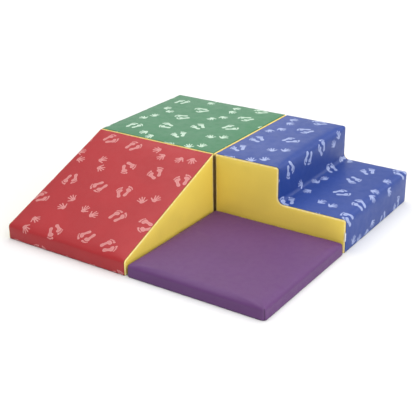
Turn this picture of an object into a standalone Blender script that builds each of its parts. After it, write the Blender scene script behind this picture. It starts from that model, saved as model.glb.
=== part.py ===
"""A soft play climber of four foam modules in sewn vinyl covers, set in a square: a ramp, a platform
block, a two-step stair block and a floor mat. Hook-and-loop strips hold the modules together, and each
cover closes with a zip on a face that children don't reach.

World frame: +X to the right along the front edge, +Y to the back, +Z up, with the origin on the floor
in the middle of the footprint. The climber's own frame stands where the four modules meet, and a module
is built about its own centre, with its run along its own +X.
"""

from math import asin, cos, radians, sin, tan
from typing import NamedTuple

import bmesh
import bpy
from mathutils import Vector

# Overall form
MODULE_SIDE = 0.608
PLATFORM_HEIGHT = 0.298
TREAD_HEIGHT = 0.143
TOP_STEP_DEPTH = 0.304
RAMP_LIP_HEIGHT = 0.062
MAT_HEIGHT = 0.046

# Cover cloth, its seams and its folds
VINYL_THICKNESS = 0.001
PART_CLEARANCE = 0.0003
FOAM_CLEARANCE = 0.0004
SEAM_ROLL = 0.008
SEAM_GAP = 0.0009
NOSING_RADIUS = 0.016
COVE_RADIUS = 0.018
RAMP_FOLD_RADIUS = 0.024
MAT_EDGE_RADIUS = 0.016

# How far a face stands proud of its seams
TOP_CROWN = 0.006
TREAD_CROWN = 0.004
SIDE_CROWN = 0.004
FRONT_CROWN = 0.003

# Zips
ZIP_END_MARGIN = 0.064
ZIP_HEIGHT = 0.036
ZIP_SLOT = 0.009
ZIP_TAPE_WIDTH = 0.014
MAT_TAPE_MARGIN = 0.0015
ZIP_TAPE_OVERHANG = 0.012
ZIP_TAPE_THICKNESS = 0.0006
ZIP_CHAIN_WIDTH = 0.006
ZIP_CHAIN_PROUD = 0.0008
ZIP_CHAIN_END = 0.001
SLIDER_LENGTH = 0.014
SLIDER_WALL = 0.0009
SLIDER_BRIDGE_LENGTH = 0.008
SLIDER_BRIDGE_HEIGHT = 0.0013
SLIDER_BRIDGE_WIDTH = 0.0024
SLIDER_BRIDGE_WALL = 0.0006
SLIDER_END_MARGIN = 0.004

# Hook-and-loop strips
STRIP_THICKNESS = 0.0016
STRIP_WIDTH = 0.050
STRIP_SIDE_MARGIN = 0.100
STRIP_TOP_MARGIN = 0.043
STRIP_ZIP_MARGIN = 0.034
STRIP_CORNER_RADIUS = 0.004
MAT_STRIP_MARGIN = 0.002
MAT_STRIP_END_MARGIN = 0.124

# Seam tab on the stairs
TAB_HEIGHT = 0.034
TAB_REACH = 0.009
TAB_LOOP_WIDTH = 0.004
TAB_THICKNESS = 0.0005
TAB_MAT_MARGIN = 0.010

# Facets
ARC_STEPS = 4
FACE_CUTS = 6
BEVEL_SEGMENTS = 4
TAB_STEPS = 8

# Derived sizes
HALF_SIDE = MODULE_SIDE / 2
MODULE_GAP = 2 * STRIP_THICKNESS + 3 * PART_CLEARANCE
MODULE_OFFSET = (MODULE_SIDE + MODULE_GAP) / 2
STEP_PLACE = TOP_STEP_DEPTH - HALF_SIDE
FOAM_INSET = VINYL_THICKNESS + FOAM_CLEARANCE
TAPE_ROOM = ZIP_TAPE_THICKNESS + PART_CLEARANCE
TAPE_FACE = -VINYL_THICKNESS - PART_CLEARANCE
HALF_ZIP = HALF_SIDE - ZIP_END_MARGIN
STRIP_FOOT_HEIGHT = ZIP_HEIGHT + ZIP_TAPE_WIDTH + STRIP_ZIP_MARGIN
STRIP_LENGTH = PLATFORM_HEIGHT - STRIP_TOP_MARGIN - STRIP_FOOT_HEIGHT
STRIP_PLACE = HALF_SIDE - STRIP_SIDE_MARGIN - STRIP_WIDTH / 2
MAT_SKIRT = MAT_HEIGHT - MAT_EDGE_RADIUS - SEAM_ROLL
MAT_SKIRT_MIDDLE = SEAM_ROLL + MAT_SKIRT / 2
SEAM_GAP_TILT = SEAM_GAP / 2 / SEAM_ROLL
SQUARE_TURN = radians(90)
SQUARE_TILT = SQUARE_TURN / 2
SHARP_ANGLE = radians(35)
SEAM_DEPTH = SEAM_ROLL * (1 - cos(SQUARE_TILT))
MERGE_DISTANCE = PART_CLEARANCE / 10

UP = Vector((0, 0, 1))
DOWN = Vector((0, 0, -1))
RIGHT = Vector((1, 0, 0))
LEFT = Vector((-1, 0, 0))
FAR = Vector((0, 1, 0))
NEAR = Vector((0, -1, 0))


class Row(NamedTuple):
    """One row of a panel: its centre lies SEAM_ROLL below the face, direction leads from there to
    the face, and crown is how far the face may stand proud along its normal."""

    centre: Vector
    direction: Vector
    normal: Vector
    crown: float


class Column(NamedTuple):
    """One column of a panel: its place across, its tilt over a seam and its share of the crown."""

    place: float
    tilt: float
    crown_share: float


class Face(NamedTuple):
    """One flat run of a profile: its crown, its number of parts and the share where they start."""

    crown: float = 0.0
    cuts: int = 1
    start_share: float = 0.0

    def shares(self):
        """Shares of the run at which it has a row."""
        parts = [self.start_share + (1 - self.start_share) * share for share in even_shares(self.cuts)]
        return [0] + parts if self.start_share else parts

    def crown_at(self, share):
        """Height of the crown at a share of the run."""
        if share <= self.start_share:
            return 0
        return self.crown * crown_share((share - self.start_share) / (1 - self.start_share))


class Window(NamedTuple):
    """An opening left in a panel, across it and in height."""

    low: float
    high: float
    foot: float
    top: float


def crown_share(share):
    """Share of the full crown at a share of the way between two seams."""
    return 4 * share * (1 - share)


def even_shares(cuts):
    """Shares from 0 to 1 that divide a length into equal parts."""
    return [index / cuts for index in range(cuts + 1)]


def seam_tilts(tilt, gap_tilt):
    """Tilts from a flat face out to a seam."""
    return [(tilt - gap_tilt) / 2, tilt - gap_tilt]


def run_rows(start, end, normal, face=Face(), tilts=(0, 0), trims=(0, 0), gap_tilt=SEAM_GAP_TILT,
             stops=()):
    """Rows of a flat run from start to end. A tilt rolls that end over a seam whose planes turn by
    twice the tilt, a trim stops short of a fold, and stops are further distances from the start."""
    along = (end - start).normalized()
    first = start + along * (SEAM_ROLL * tan(tilts[0]) + trims[0]) - normal * SEAM_ROLL
    last = end - along * (SEAM_ROLL * tan(tilts[1]) + trims[1]) - normal * SEAM_ROLL
    places = {share: first.lerp(last, share) for share in face.shares()}
    for stop in stops:
        place = start + along * stop - normal * SEAM_ROLL
        places[(place - first).dot(along) / (last - first).length] = place
    rows = []
    if tilts[0]:
        for tilt in reversed(seam_tilts(tilts[0], gap_tilt)):
            rows.append(Row(first, normal - along * tan(tilt), normal, 0))
    for share in sorted(places):
        rows.append(Row(places[share], normal, normal, face.crown_at(share)))
    if tilts[1]:
        for tilt in seam_tilts(tilts[1], gap_tilt):
            rows.append(Row(last, normal + along * tan(tilt), normal, 0))
    return rows


def fold_trim(turn, radius):
    """Distance from the corner of two faces to where their fold starts."""
    return radius * tan(turn / 2)


def fold_rows(corner, before, after, before_normal, after_normal, radius):
    """Rows between the ends of a rounded fold or cove at a corner."""
    turn = before_normal.angle(after_normal)
    side = -1 if before_normal.dot(after) > 0 else 1
    pivot = corner - before * fold_trim(turn, radius) - before_normal * radius * side
    rows = []
    for share in even_shares(ARC_STEPS)[1:-1]:
        normal = before_normal.slerp(after_normal, share)
        rows.append(Row(pivot + normal * (radius * side - SEAM_ROLL), normal, normal, 0))
    return rows


def side_columns(low, high, cuts=1, gap_tilt=SEAM_GAP_TILT, stops=()):
    """Columns between two seams at right angles, from low to high, with more at the stops."""
    first = low + SEAM_ROLL
    last = high - SEAM_ROLL
    tilts = seam_tilts(SQUARE_TILT, gap_tilt)
    shares = even_shares(cuts) + [(stop - first) / (last - first) for stop in stops]
    columns = [Column(first, -tilt, 0) for tilt in reversed(tilts)]
    columns += [Column(first + (last - first) * share, 0, crown_share(share)) for share in sorted(shares)]
    columns += [Column(last, tilt, 0) for tilt in tilts]
    return columns


def surface_point(row, column, across, radius):
    """Point of the cover, or of the foam for a smaller radius, at a row and a column."""
    direction = row.direction + across * tan(column.tilt)
    crown = row.normal * row.crown * column.crown_share
    return row.centre + across * column.place + direction.normalized() * radius + crown


def add_panel(bm, rows, columns, across, radius=SEAM_ROLL, window=None):
    """Adds the surface over rows and columns, open at a window."""
    last_row = len(rows) - 1
    last_column = len(columns) - 1
    grid = bmesh.ops.create_grid(bm, x_segments=last_row, y_segments=last_column, size=0.5)
    for vert in grid["verts"]:
        row = rows[round((vert.co.x + 1 / 2) * last_row)]
        column = columns[round((vert.co.y + 1 / 2) * last_column)]
        vert.co = surface_point(row, column, across, radius)
    faces = list({face for vert in grid["verts"] for face in vert.link_faces})
    bmesh.ops.recalc_face_normals(bm, faces=faces)
    turn_out(bm, faces, rows[len(rows) // 2].normal)
    if window:
        slot = [face for face in faces if in_window(face, across, window)]
        bmesh.ops.delete(bm, geom=slot, context="FACES")


def turn_out(bm, faces, outward):
    """Turns a consistent surface so that it faces outward."""
    flat = max(faces, key=lambda face: abs(face.normal.dot(outward)))
    if flat.normal.dot(outward) < 0:
        bmesh.ops.reverse_faces(bm, faces=faces)


def in_window(face, across, window):
    """Whether a face lies in a window."""
    centre = face.calc_center_median()
    return window.low < centre.dot(across) < window.high and window.foot < centre.z < window.top


def add_gusset(bm, outline, place, outward, radius=SEAM_ROLL, gap_tilt=SEAM_GAP_TILT, crown=0.0):
    """Adds a side panel that fills a closed outline of rows and rolls over its seam all round."""
    rings = []
    for tilt in [0] + seam_tilts(SQUARE_TILT, gap_tilt):
        ring = []
        for row in outline:
            direction = outward + row.direction * tan(tilt)
            ring.append(bm.verts.new(row.centre + outward * place + direction.normalized() * radius))
        rings.append(ring)
    for inner, outer in zip(rings, rings[1:]):
        for index in range(-1, len(outline) - 1):
            bm.faces.new((inner[index], inner[index + 1], outer[index + 1], outer[index]))
    bm.faces.new(rings[0])
    verts = [vert for ring in rings for vert in ring]
    bmesh.ops.remove_doubles(bm, verts=verts, dist=MERGE_DISTANCE)
    faces = list({face for vert in verts if vert.is_valid for face in vert.link_faces})
    bmesh.ops.recalc_face_normals(bm, faces=faces)
    flat = max(faces, key=lambda face: face.calc_area())
    turn_out(bm, faces, outward)
    if crown:
        raise_gusset(bm, flat, outward, crown)


def raise_gusset(bm, flat, outward, crown):
    """Cuts a flat side panel into a grid and raises it away from its seams."""
    corners = [vert.co.copy() for vert in flat.verts]
    middle = flat.calc_center_bounds()
    spans = [max(co[axis] for co in corners) - min(co[axis] for co in corners) for axis in (0, 2)]
    faces = [flat]
    for axis, span in zip((RIGHT, UP), spans):
        for share in even_shares(FACE_CUTS)[1:-1]:
            edges = {edge for face in faces for edge in face.edges}
            verts = {vert for face in faces for vert in face.verts}
            cut = bmesh.ops.bisect_plane(
                bm, geom=faces + list(edges) + list(verts), dist=MERGE_DISTANCE,
                plane_co=middle + axis * span * (share - 1 / 2), plane_no=axis)
            faces = [item for item in cut["geom"] if isinstance(item, bmesh.types.BMFace)]
    edges = list(zip(corners, corners[1:] + corners[:1]))
    for vert in {vert for face in faces for vert in face.verts}:
        reach = min(edge_distance(vert.co, start, end) for start, end in edges)
        vert.co += outward * crown * crown_share(min(reach / min(spans), 1 / 2))


def edge_distance(point, start, end):
    """Distance from a point to a straight edge."""
    along = end - start
    share = max(0, min(1, (point - start).dot(along) / along.length_squared))
    return (point - start - along * share).length


def new_object(name, bm, material, parent, cloth_thickness=0.0):
    """Makes an object of a mesh that is built in its parent's frame. A thickness turns an open
    surface into cloth, inwards from it. Panel and foam are cut into the same triangles, so that their
    crowns stay apart by the clearance."""
    bmesh.ops.remove_doubles(bm, verts=bm.verts, dist=MERGE_DISTANCE)
    bmesh.ops.triangulate(bm, faces=bm.faces, quad_method="FIXED")
    mesh = bpy.data.meshes.new(name)
    bm.to_mesh(mesh)
    bm.free()
    mesh.materials.append(material)
    mesh.shade_smooth()
    mesh.set_sharp_from_angle(angle=SHARP_ANGLE)
    obj = bpy.data.objects.new(name, mesh)
    obj.parent = parent
    parts.objects.link(obj)
    if cloth_thickness:
        cloth = obj.modifiers.new("cloth", "SOLIDIFY")
        cloth.thickness = cloth_thickness
        cloth.offset = -1
        cloth.use_even_offset = True
        cloth.use_quality_normals = True
    return obj


def new_panel(name, rows, columns, across, material, parent, window=None):
    """Makes one sewn panel of a cover."""
    bm = bmesh.new()
    add_panel(bm, rows, columns, across, window=window)
    return new_object(name, bm, material, parent, VINYL_THICKNESS)


def corner_point(run, height):
    """Corner of a module's profile."""
    return RIGHT * run + UP * height


class Module:
    """A module with one profile across its whole width.

    corners lists the profile from the top of the back seam to the foot of the front, folds gives the
    radius at each corner between, and faces gives each flat run. low and high are its two sides."""

    def __init__(self, corners, folds, faces, low=-HALF_SIDE, high=HALF_SIDE, back=Face()):
        self.corners = [corner_point(run, height) for run, height in corners]
        self.folds = folds
        self.faces = faces
        self.low = low
        self.high = high
        self.back = back
        self.back_foot = corner_point(self.corners[0].x, self.corners[-1].z)
        self.back_tilt = LEFT.angle(self.normal(0)) / 2

    def along(self, index):
        """Direction of one run of the profile."""
        return (self.corners[index + 1] - self.corners[index]).normalized()

    def normal(self, index):
        """Outward normal of one run of the profile."""
        along = self.along(index)
        return Vector((-along.z, 0, along.x))

    def trim(self, index):
        """Length that the fold at a corner takes from the runs that meet there."""
        if index in (0, len(self.corners) - 1):
            return 0
        turn = self.normal(index - 1).angle(self.normal(index))
        return fold_trim(turn, self.folds[index - 1])

    def band_rows(self, gap_tilt=SEAM_GAP_TILT):
        """Rows of the one panel that wraps the top, the steps and the front."""
        rows = []
        last = len(self.faces) - 1
        for index, face in enumerate(self.faces):
            tilts = (0 if index else self.back_tilt, 0 if index < last else SQUARE_TILT)
            rows += run_rows(
                self.corners[index], self.corners[index + 1], self.normal(index), face, tilts,
                (self.trim(index), self.trim(index + 1)), gap_tilt)
            if index < last:
                rows += fold_rows(
                    self.corners[index + 1], self.along(index), self.along(index + 1),
                    self.normal(index), self.normal(index + 1), self.folds[index])
        return rows

    def base_rows(self, gap_tilt=SEAM_GAP_TILT):
        """Rows of the base, from the front to the back."""
        return run_rows(self.corners[-1], self.back_foot, DOWN, tilts=(SQUARE_TILT, SQUARE_TILT),
                        gap_tilt=gap_tilt)

    def back_rows(self, gap_tilt=SEAM_GAP_TILT, stops=()):
        """Rows of the back, from the floor up, with more at the heights in stops."""
        return run_rows(self.back_foot, self.corners[0], LEFT, self.back, (SQUARE_TILT, self.back_tilt),
                        gap_tilt=gap_tilt, stops=stops)

    def columns(self, cuts=1, gap_tilt=SEAM_GAP_TILT, stops=()):
        """Columns across the module."""
        return side_columns(self.low, self.high, cuts, gap_tilt, stops)

    def outline(self):
        """Closed outline of the module's sides."""
        return self.band_rows(0) + self.base_rows(0) + self.back_rows(0)

    def side(self, bm, outward, radius=SEAM_ROLL, gap_tilt=SEAM_GAP_TILT, crown=0.0):
        """Adds the side that looks outward."""
        reach = self.high if outward == FAR else -self.low
        add_gusset(bm, self.outline(), reach - SEAM_ROLL, outward, radius, gap_tilt, crown)

    def side_panel(self, name, outward, parent, crown=0.0):
        """Makes the yellow panel of one side."""
        bm = bmesh.new()
        self.side(bm, outward, crown=crown)
        return new_object(name, bm, YELLOW_VINYL, parent, VINYL_THICKNESS)

    def foam(self, name, parent, far_crown=0.0, near_crown=0.0):
        """Makes the foam block that fills this profile's cover."""
        bm = bmesh.new()
        radius = SEAM_ROLL - FOAM_INSET
        columns = self.columns(FACE_CUTS, 0)
        for rows in (self.band_rows(0), self.base_rows(0), self.back_rows(0)):
            add_panel(bm, rows, columns, FAR, radius)
        self.side(bm, FAR, radius, 0, far_crown)
        self.side(bm, NEAR, radius, 0, near_crown)
        bmesh.ops.remove_doubles(bm, verts=bm.verts, dist=MERGE_DISTANCE)
        bmesh.ops.recalc_face_normals(bm, faces=bm.faces)
        return new_object(name, bm, FOAM, parent)


def box_mesh(low, high):
    """Returns a box between two corners."""
    bm = bmesh.new()
    bmesh.ops.create_cube(bm, size=1)
    bmesh.ops.scale(bm, vec=high - low, verts=bm.verts)
    bmesh.ops.translate(bm, vec=(low + high) / 2, verts=bm.verts)
    return bm


def cut_box(bm, axis, places):
    """Cuts a mesh across an axis at each place, and leaves it whole."""
    for place in places:
        bmesh.ops.bisect_plane(bm, geom=bm.verts[:] + bm.edges[:] + bm.faces[:], dist=MERGE_DISTANCE,
                               plane_co=axis * place, plane_no=axis)


def pull_faces(bm, outward, distance, chosen):
    """Draws the chosen faces that look outward out of a solid."""
    looking_out = [face for face in bm.faces if face.normal.dot(outward) > 1 / 2]
    faces = [face for face in looking_out if chosen(face.calc_center_median())]
    drawn = bmesh.ops.extrude_face_region(bm, geom=faces)["geom"]
    verts = [item for item in drawn if isinstance(item, bmesh.types.BMVert)]
    bmesh.ops.translate(bm, vec=outward * distance, verts=verts)
    bmesh.ops.delete(bm, geom=faces, context="FACES_ONLY")
    bm.normal_update()


def new_zip_tape(name, side, width, parent):
    """Makes half a zip: a tape behind the cover with its row of coils, shown as one bead, standing in
    the slot. side is 1 for the upper half and -1 for the lower half."""
    half_gap = PART_CLEARANCE / 2
    reach = HALF_ZIP + ZIP_TAPE_OVERHANG
    bead = HALF_ZIP - ZIP_CHAIN_END
    tape_back = TAPE_FACE - ZIP_TAPE_THICKNESS
    bm = box_mesh(Vector((-reach, tape_back, half_gap)), Vector((reach, TAPE_FACE, width)))
    cut_box(bm, RIGHT, (-bead, bead))
    cut_box(bm, UP, (ZIP_CHAIN_WIDTH / 2,))
    pull_faces(bm, FAR, ZIP_CHAIN_PROUD - TAPE_FACE,
               lambda centre: abs(centre.x) < bead and centre.z < ZIP_CHAIN_WIDTH / 2)
    if side < 0:
        bmesh.ops.scale(bm, vec=(1, 1, side), verts=bm.verts)
        bmesh.ops.reverse_faces(bm, faces=bm.faces)
    return new_object(name, bm, ZIP_CLOTH, parent)


def new_zip_slider(name, parent):
    """Makes a zip's slider: a plate over the coils, two flanges beside them and a bridge on top. The
    bridge has no pull, so that only an adult with a clip can move it."""
    foot = ZIP_CHAIN_PROUD + PART_CLEARANCE
    top = foot + SLIDER_WALL
    inner = ZIP_CHAIN_WIDTH / 2 + PART_CLEARANCE
    outer = inner + SLIDER_WALL
    half_length = SLIDER_LENGTH / 2
    bm = box_mesh(Vector((-half_length, foot, -outer)), Vector((half_length, top, outer)))
    cut_box(bm, UP, (-inner, inner))
    flange = foot - TAPE_FACE - PART_CLEARANCE
    pull_faces(bm, NEAR, flange, lambda centre: abs(centre.z) > inner)
    end = SLIDER_BRIDGE_LENGTH / 2
    post = end - SLIDER_BRIDGE_WALL
    cut_box(bm, RIGHT, (-end, -post, post, end))
    cut_box(bm, UP, (-SLIDER_BRIDGE_WIDTH / 2, SLIDER_BRIDGE_WIDTH / 2))

    def on_post(centre):
        """Whether a place lies on one of the bridge's two posts."""
        return post < abs(centre.x) < end and abs(centre.z) < SLIDER_BRIDGE_WIDTH / 2

    pull_faces(bm, FAR, SLIDER_BRIDGE_HEIGHT - SLIDER_BRIDGE_WALL, on_post)
    pull_faces(bm, FAR, SLIDER_BRIDGE_WALL, lambda centre: on_post(centre) and centre.y > top)
    roof = top + SLIDER_BRIDGE_HEIGHT - SLIDER_BRIDGE_WALL
    facing = [face for face in bm.faces if face.calc_center_median().y > roof
              and abs(face.normal.x) > 1 / 2 and abs(face.calc_center_median().x) < (post + end) / 2]
    edges = [edge for face in facing for edge in face.edges]
    bmesh.ops.delete(bm, geom=facing, context="FACES_ONLY")
    bmesh.ops.bridge_loops(bm, edges=edges)
    slider = new_object(name, bm, ZIP_METAL, parent)
    slider.location = RIGHT * (SLIDER_END_MARGIN + half_length - HALF_ZIP)
    return slider


def new_zip(prefix, place, turn, module_frame, tape_width=ZIP_TAPE_WIDTH):
    """Makes a zip whose own +X runs along it and whose own +Y looks out of the cover."""
    frame = new_frame(prefix + "_zip_frame", place, turn, module_frame)
    new_zip_tape(prefix + "_zip_upper_tape", 1, tape_width, frame)
    new_zip_tape(prefix + "_zip_lower_tape", -1, tape_width, frame)
    new_zip_slider(prefix + "_zip_slider", frame)


def zip_window(height):
    """Returns the slot of a zip in its panel."""
    return Window(-HALF_ZIP, HALF_ZIP, height - ZIP_SLOT / 2, height + ZIP_SLOT / 2)


def new_strip(name, outward, across, centre, size, material, parent):
    """Makes a hook or loop strip on the face that looks outward. centre and size are across the face
    and in height."""
    depth = HALF_SIDE + PART_CLEARANCE + STRIP_THICKNESS / 2
    middle = outward * depth + across * centre[0] + UP * centre[1]
    reach = outward * STRIP_THICKNESS / 2 + across * size[0] / 2 + UP * size[1] / 2
    low = Vector(map(min, middle - reach, middle + reach))
    high = Vector(map(max, middle - reach, middle + reach))
    bm = box_mesh(low, high)
    corners = [edge for edge in bm.edges
               if abs((edge.verts[0].co - edge.verts[1].co).normalized().dot(outward)) > 1 / 2]
    bmesh.ops.bevel(bm, geom=corners, offset=STRIP_CORNER_RADIUS, segments=ARC_STEPS, profile=0.5,
                    affect="EDGES", material=-1)
    return new_object(name, bm, material, parent)


def new_strip_pair(prefix, names, outward, across, material, parent):
    """Makes the two upright strips of a face."""
    for name, side in zip(names, (-1, 1)):
        new_strip(f"{prefix}_strip_{name}", outward, across,
                  (side * STRIP_PLACE, STRIP_FOOT_HEIGHT + STRIP_LENGTH / 2), (STRIP_WIDTH, STRIP_LENGTH),
                  material, parent)


def new_mat_strip(name, outward, across, material, parent):
    """Makes the long low strip that joins the mat and the ramp."""
    size = (MODULE_SIDE - 2 * MAT_STRIP_END_MARGIN, MAT_SKIRT - 2 * MAT_STRIP_MARGIN)
    new_strip(name, outward, across, (0, MAT_SKIRT_MIDDLE), size, material, parent)


def cut_faces(bm, outward, axis, place):
    """Cuts only the flat faces that look outward, across an axis at a place."""
    bm.normal_update()
    faces = [face for face in bm.faces if face.normal.dot(outward) > cos(SEAM_GAP_TILT)]
    edges = {edge for face in faces for edge in face.edges}
    verts = {vert for face in faces for vert in face.verts}
    bmesh.ops.bisect_plane(bm, geom=faces + list(edges) + list(verts), dist=MERGE_DISTANCE,
                           plane_co=axis * place, plane_no=axis)


def mat_shell(inset=0.0, far_room=0.0):
    """Returns the closed form of the mat, or of what fills it: a crowned top, rounded edges and
    corners, and a smaller roll at the foot."""
    low = Vector((inset - HALF_SIDE, inset - HALF_SIDE, inset))
    high = Vector((HALF_SIDE - inset, HALF_SIDE - inset - far_room, MAT_HEIGHT - inset))
    bm = box_mesh(low, high)
    for radius, at_foot in ((MAT_EDGE_RADIUS, False), (SEAM_ROLL, True)):
        edges = [edge for edge in bm.edges if edge.calc_face_angle(0) > SQUARE_TILT
                 and (max(vert.co.z for vert in edge.verts) < SEAM_ROLL) == at_foot]
        bmesh.ops.bevel(bm, geom=edges, offset=radius - inset, segments=BEVEL_SEGMENTS, profile=0.5,
                        affect="EDGES", material=-1)
    reach = HALF_SIDE - MAT_EDGE_RADIUS
    for axis in (RIGHT, FAR):
        for share in even_shares(FACE_CUTS)[1:-1]:
            cut_faces(bm, UP, axis, reach * (2 * share - 1))
    for vert in bm.verts:
        if vert.co.z > high.z - MERGE_DISTANCE:
            shares = [max(0, min(1, (place / reach + 1) / 2)) for place in vert.co.xy]
            vert.co.z += TOP_CROWN * crown_share(shares[0]) * crown_share(shares[1])
    bmesh.ops.recalc_face_normals(bm, faces=bm.faces)
    return bm


def new_mat_shell(name, material, parent, above):
    """Makes the mat's cover above its foot seam, or its base below it."""
    bm = mat_shell()
    side = 1 if above else -1
    bmesh.ops.bisect_plane(
        bm, geom=bm.verts[:] + bm.edges[:] + bm.faces[:], dist=MERGE_DISTANCE, plane_no=UP,
        plane_co=UP * (SEAM_DEPTH + side * SEAM_GAP / 2 * sin(SQUARE_TILT)), clear_inner=above,
        clear_outer=not above)
    if above:
        window = zip_window(MAT_SKIRT_MIDDLE)
        for axis, places in ((RIGHT, window[:2]), (UP, window[2:])):
            for place in places:
                cut_faces(bm, FAR, axis, place)
        slot = [face for face in bm.faces if face.normal.y > 1 / 2 and in_window(face, RIGHT, window)]
        bmesh.ops.delete(bm, geom=slot, context="FACES")
    return new_object(name, bm, material, parent, VINYL_THICKNESS)


def new_seam_tab(name, parent):
    """Makes a blank woven tab, folded over and caught in the stairs' front corner seam. Its frame
    stands on the corner's roll and its own +X leads out of the seam."""
    frame = new_frame(name + "_frame", RIGHT * (HALF_SIDE - SEAM_ROLL) + NEAR * (HALF_SIDE - SEAM_ROLL),
                      -SQUARE_TILT, parent)
    root = SEAM_ROLL + PART_CLEARANCE
    loop_radius = (TAB_LOOP_WIDTH - TAB_THICKNESS) / 2
    fold = root + TAB_REACH - TAB_THICKNESS / 2 - loop_radius
    half_root = TAB_THICKNESS / 2 + PART_CLEARANCE / 2
    lean = asin(loop_radius / (fold - root))
    bm = bmesh.new()
    points = [(root, -half_root)]
    for share in even_shares(TAB_STEPS):
        turn = (2 * share - 1) * (SQUARE_TURN + lean)
        points.append((fold + loop_radius * cos(turn), loop_radius * sin(turn)))
    points.append((root, half_root))
    verts = [bm.verts.new((run, across, MAT_HEIGHT + TAB_MAT_MARGIN)) for run, across in points]
    edges = [bm.edges.new(pair) for pair in zip(verts, verts[1:])]
    drawn = bmesh.ops.extrude_edge_only(bm, edges=edges)["geom"]
    top = [item for item in drawn if isinstance(item, bmesh.types.BMVert)]
    bmesh.ops.translate(bm, vec=UP * TAB_HEIGHT, verts=top)
    bmesh.ops.recalc_face_normals(bm, faces=bm.faces)
    tab = new_object(name, bm, TAB_CLOTH, frame, TAB_THICKNESS)
    tab.modifiers["cloth"].offset = 0
    return tab


def make_material(name, colour, roughness, metallic=0.0):
    """Makes a plain material from a display colour."""
    material = bpy.data.materials.new(name)
    material.use_nodes = True
    shader = material.node_tree.nodes["Principled BSDF"]
    display_gamma = 2.2
    shader.inputs["Base Color"].default_value = (*(share ** display_gamma for share in colour), 1)
    shader.inputs["Roughness"].default_value = roughness
    shader.inputs["Metallic"].default_value = metallic
    return material


def new_frame(name, place, turn=0.0, parent=None):
    """Makes an empty that carries the pieces of the climber, of a module or of a zip."""
    frame = bpy.data.objects.new(name, None)
    frame.location = place
    frame.rotation_euler.z = turn
    frame.parent = parent
    parts.objects.link(frame)
    return frame


def wall_panel(name, outward, across, height, material, parent, face=Face(), window=None):
    """Makes one upright side panel of a block, with a seam on all four sides."""
    foot = outward * HALF_SIDE
    stops = (window.foot, window.top) if window else ()
    cuts = FACE_CUTS if face.crown else 1
    rows = run_rows(foot, foot + UP * height, outward, face, (SQUARE_TILT, SQUARE_TILT), stops=stops)
    columns = side_columns(-HALF_SIDE, HALF_SIDE, cuts, stops=(window.low, window.high) if window else ())
    return new_panel(name, rows, columns, across, material, parent, window)


def back_panel(name, module, parent):
    """Makes the tall back panel of a module, with the slot for its zip."""
    window = zip_window(ZIP_HEIGHT)
    rows = module.back_rows(stops=(window.foot, window.top))
    columns = module.columns(stops=(window.low, window.high))
    return new_panel(name, rows, columns, FAR, YELLOW_VINYL, parent, window)


def build_platform(climber):
    """Builds the platform block, whose left and back faces are free and crowned."""
    frame = new_frame("platform_frame", LEFT * MODULE_OFFSET + FAR * MODULE_OFFSET, 0, climber)
    corners = [(-HALF_SIDE, PLATFORM_HEIGHT), (HALF_SIDE, PLATFORM_HEIGHT), (HALF_SIDE, 0)]
    top = Face(TOP_CROWN, FACE_CUTS)
    side = Face(SIDE_CROWN, FACE_CUTS)
    module = Module(corners, [SEAM_ROLL], [top, Face()], back=side)
    block = Module(corners, [SEAM_ROLL], [top, Face()], high=HALF_SIDE - TAPE_ROOM, back=side)
    block.foam("platform_foam_core", frame)
    rows = run_rows(module.corners[0], module.corners[1], UP, top, (SQUARE_TILT, SQUARE_TILT))
    new_panel("platform_top_panel", rows, module.columns(FACE_CUTS), FAR, GREEN_VINYL, frame)
    new_panel("platform_base_panel", module.base_rows(), module.columns(), FAR, BASE_VINYL, frame)
    wall_panel("platform_left_panel", LEFT, FAR, PLATFORM_HEIGHT, YELLOW_VINYL, frame, side)
    wall_panel("platform_right_panel", RIGHT, FAR, PLATFORM_HEIGHT, YELLOW_VINYL, frame)
    wall_panel("platform_front_panel", NEAR, RIGHT, PLATFORM_HEIGHT, YELLOW_VINYL, frame)
    flat_share = (ZIP_HEIGHT + ZIP_TAPE_WIDTH - SEAM_ROLL) / (PLATFORM_HEIGHT - 2 * SEAM_ROLL)
    back = Face(SIDE_CROWN, FACE_CUTS, flat_share)
    wall_panel("platform_back_panel", FAR, RIGHT, PLATFORM_HEIGHT, YELLOW_VINYL, frame, back,
               zip_window(ZIP_HEIGHT))
    new_zip("platform", FAR * HALF_SIDE + UP * ZIP_HEIGHT, 0, frame)
    new_strip_pair("platform_front_loop", ("left", "right"), NEAR, RIGHT, LOOP_CLOTH, frame)
    new_strip_pair("platform_right_loop", ("near", "far"), RIGHT, FAR, LOOP_CLOTH, frame)


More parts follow.
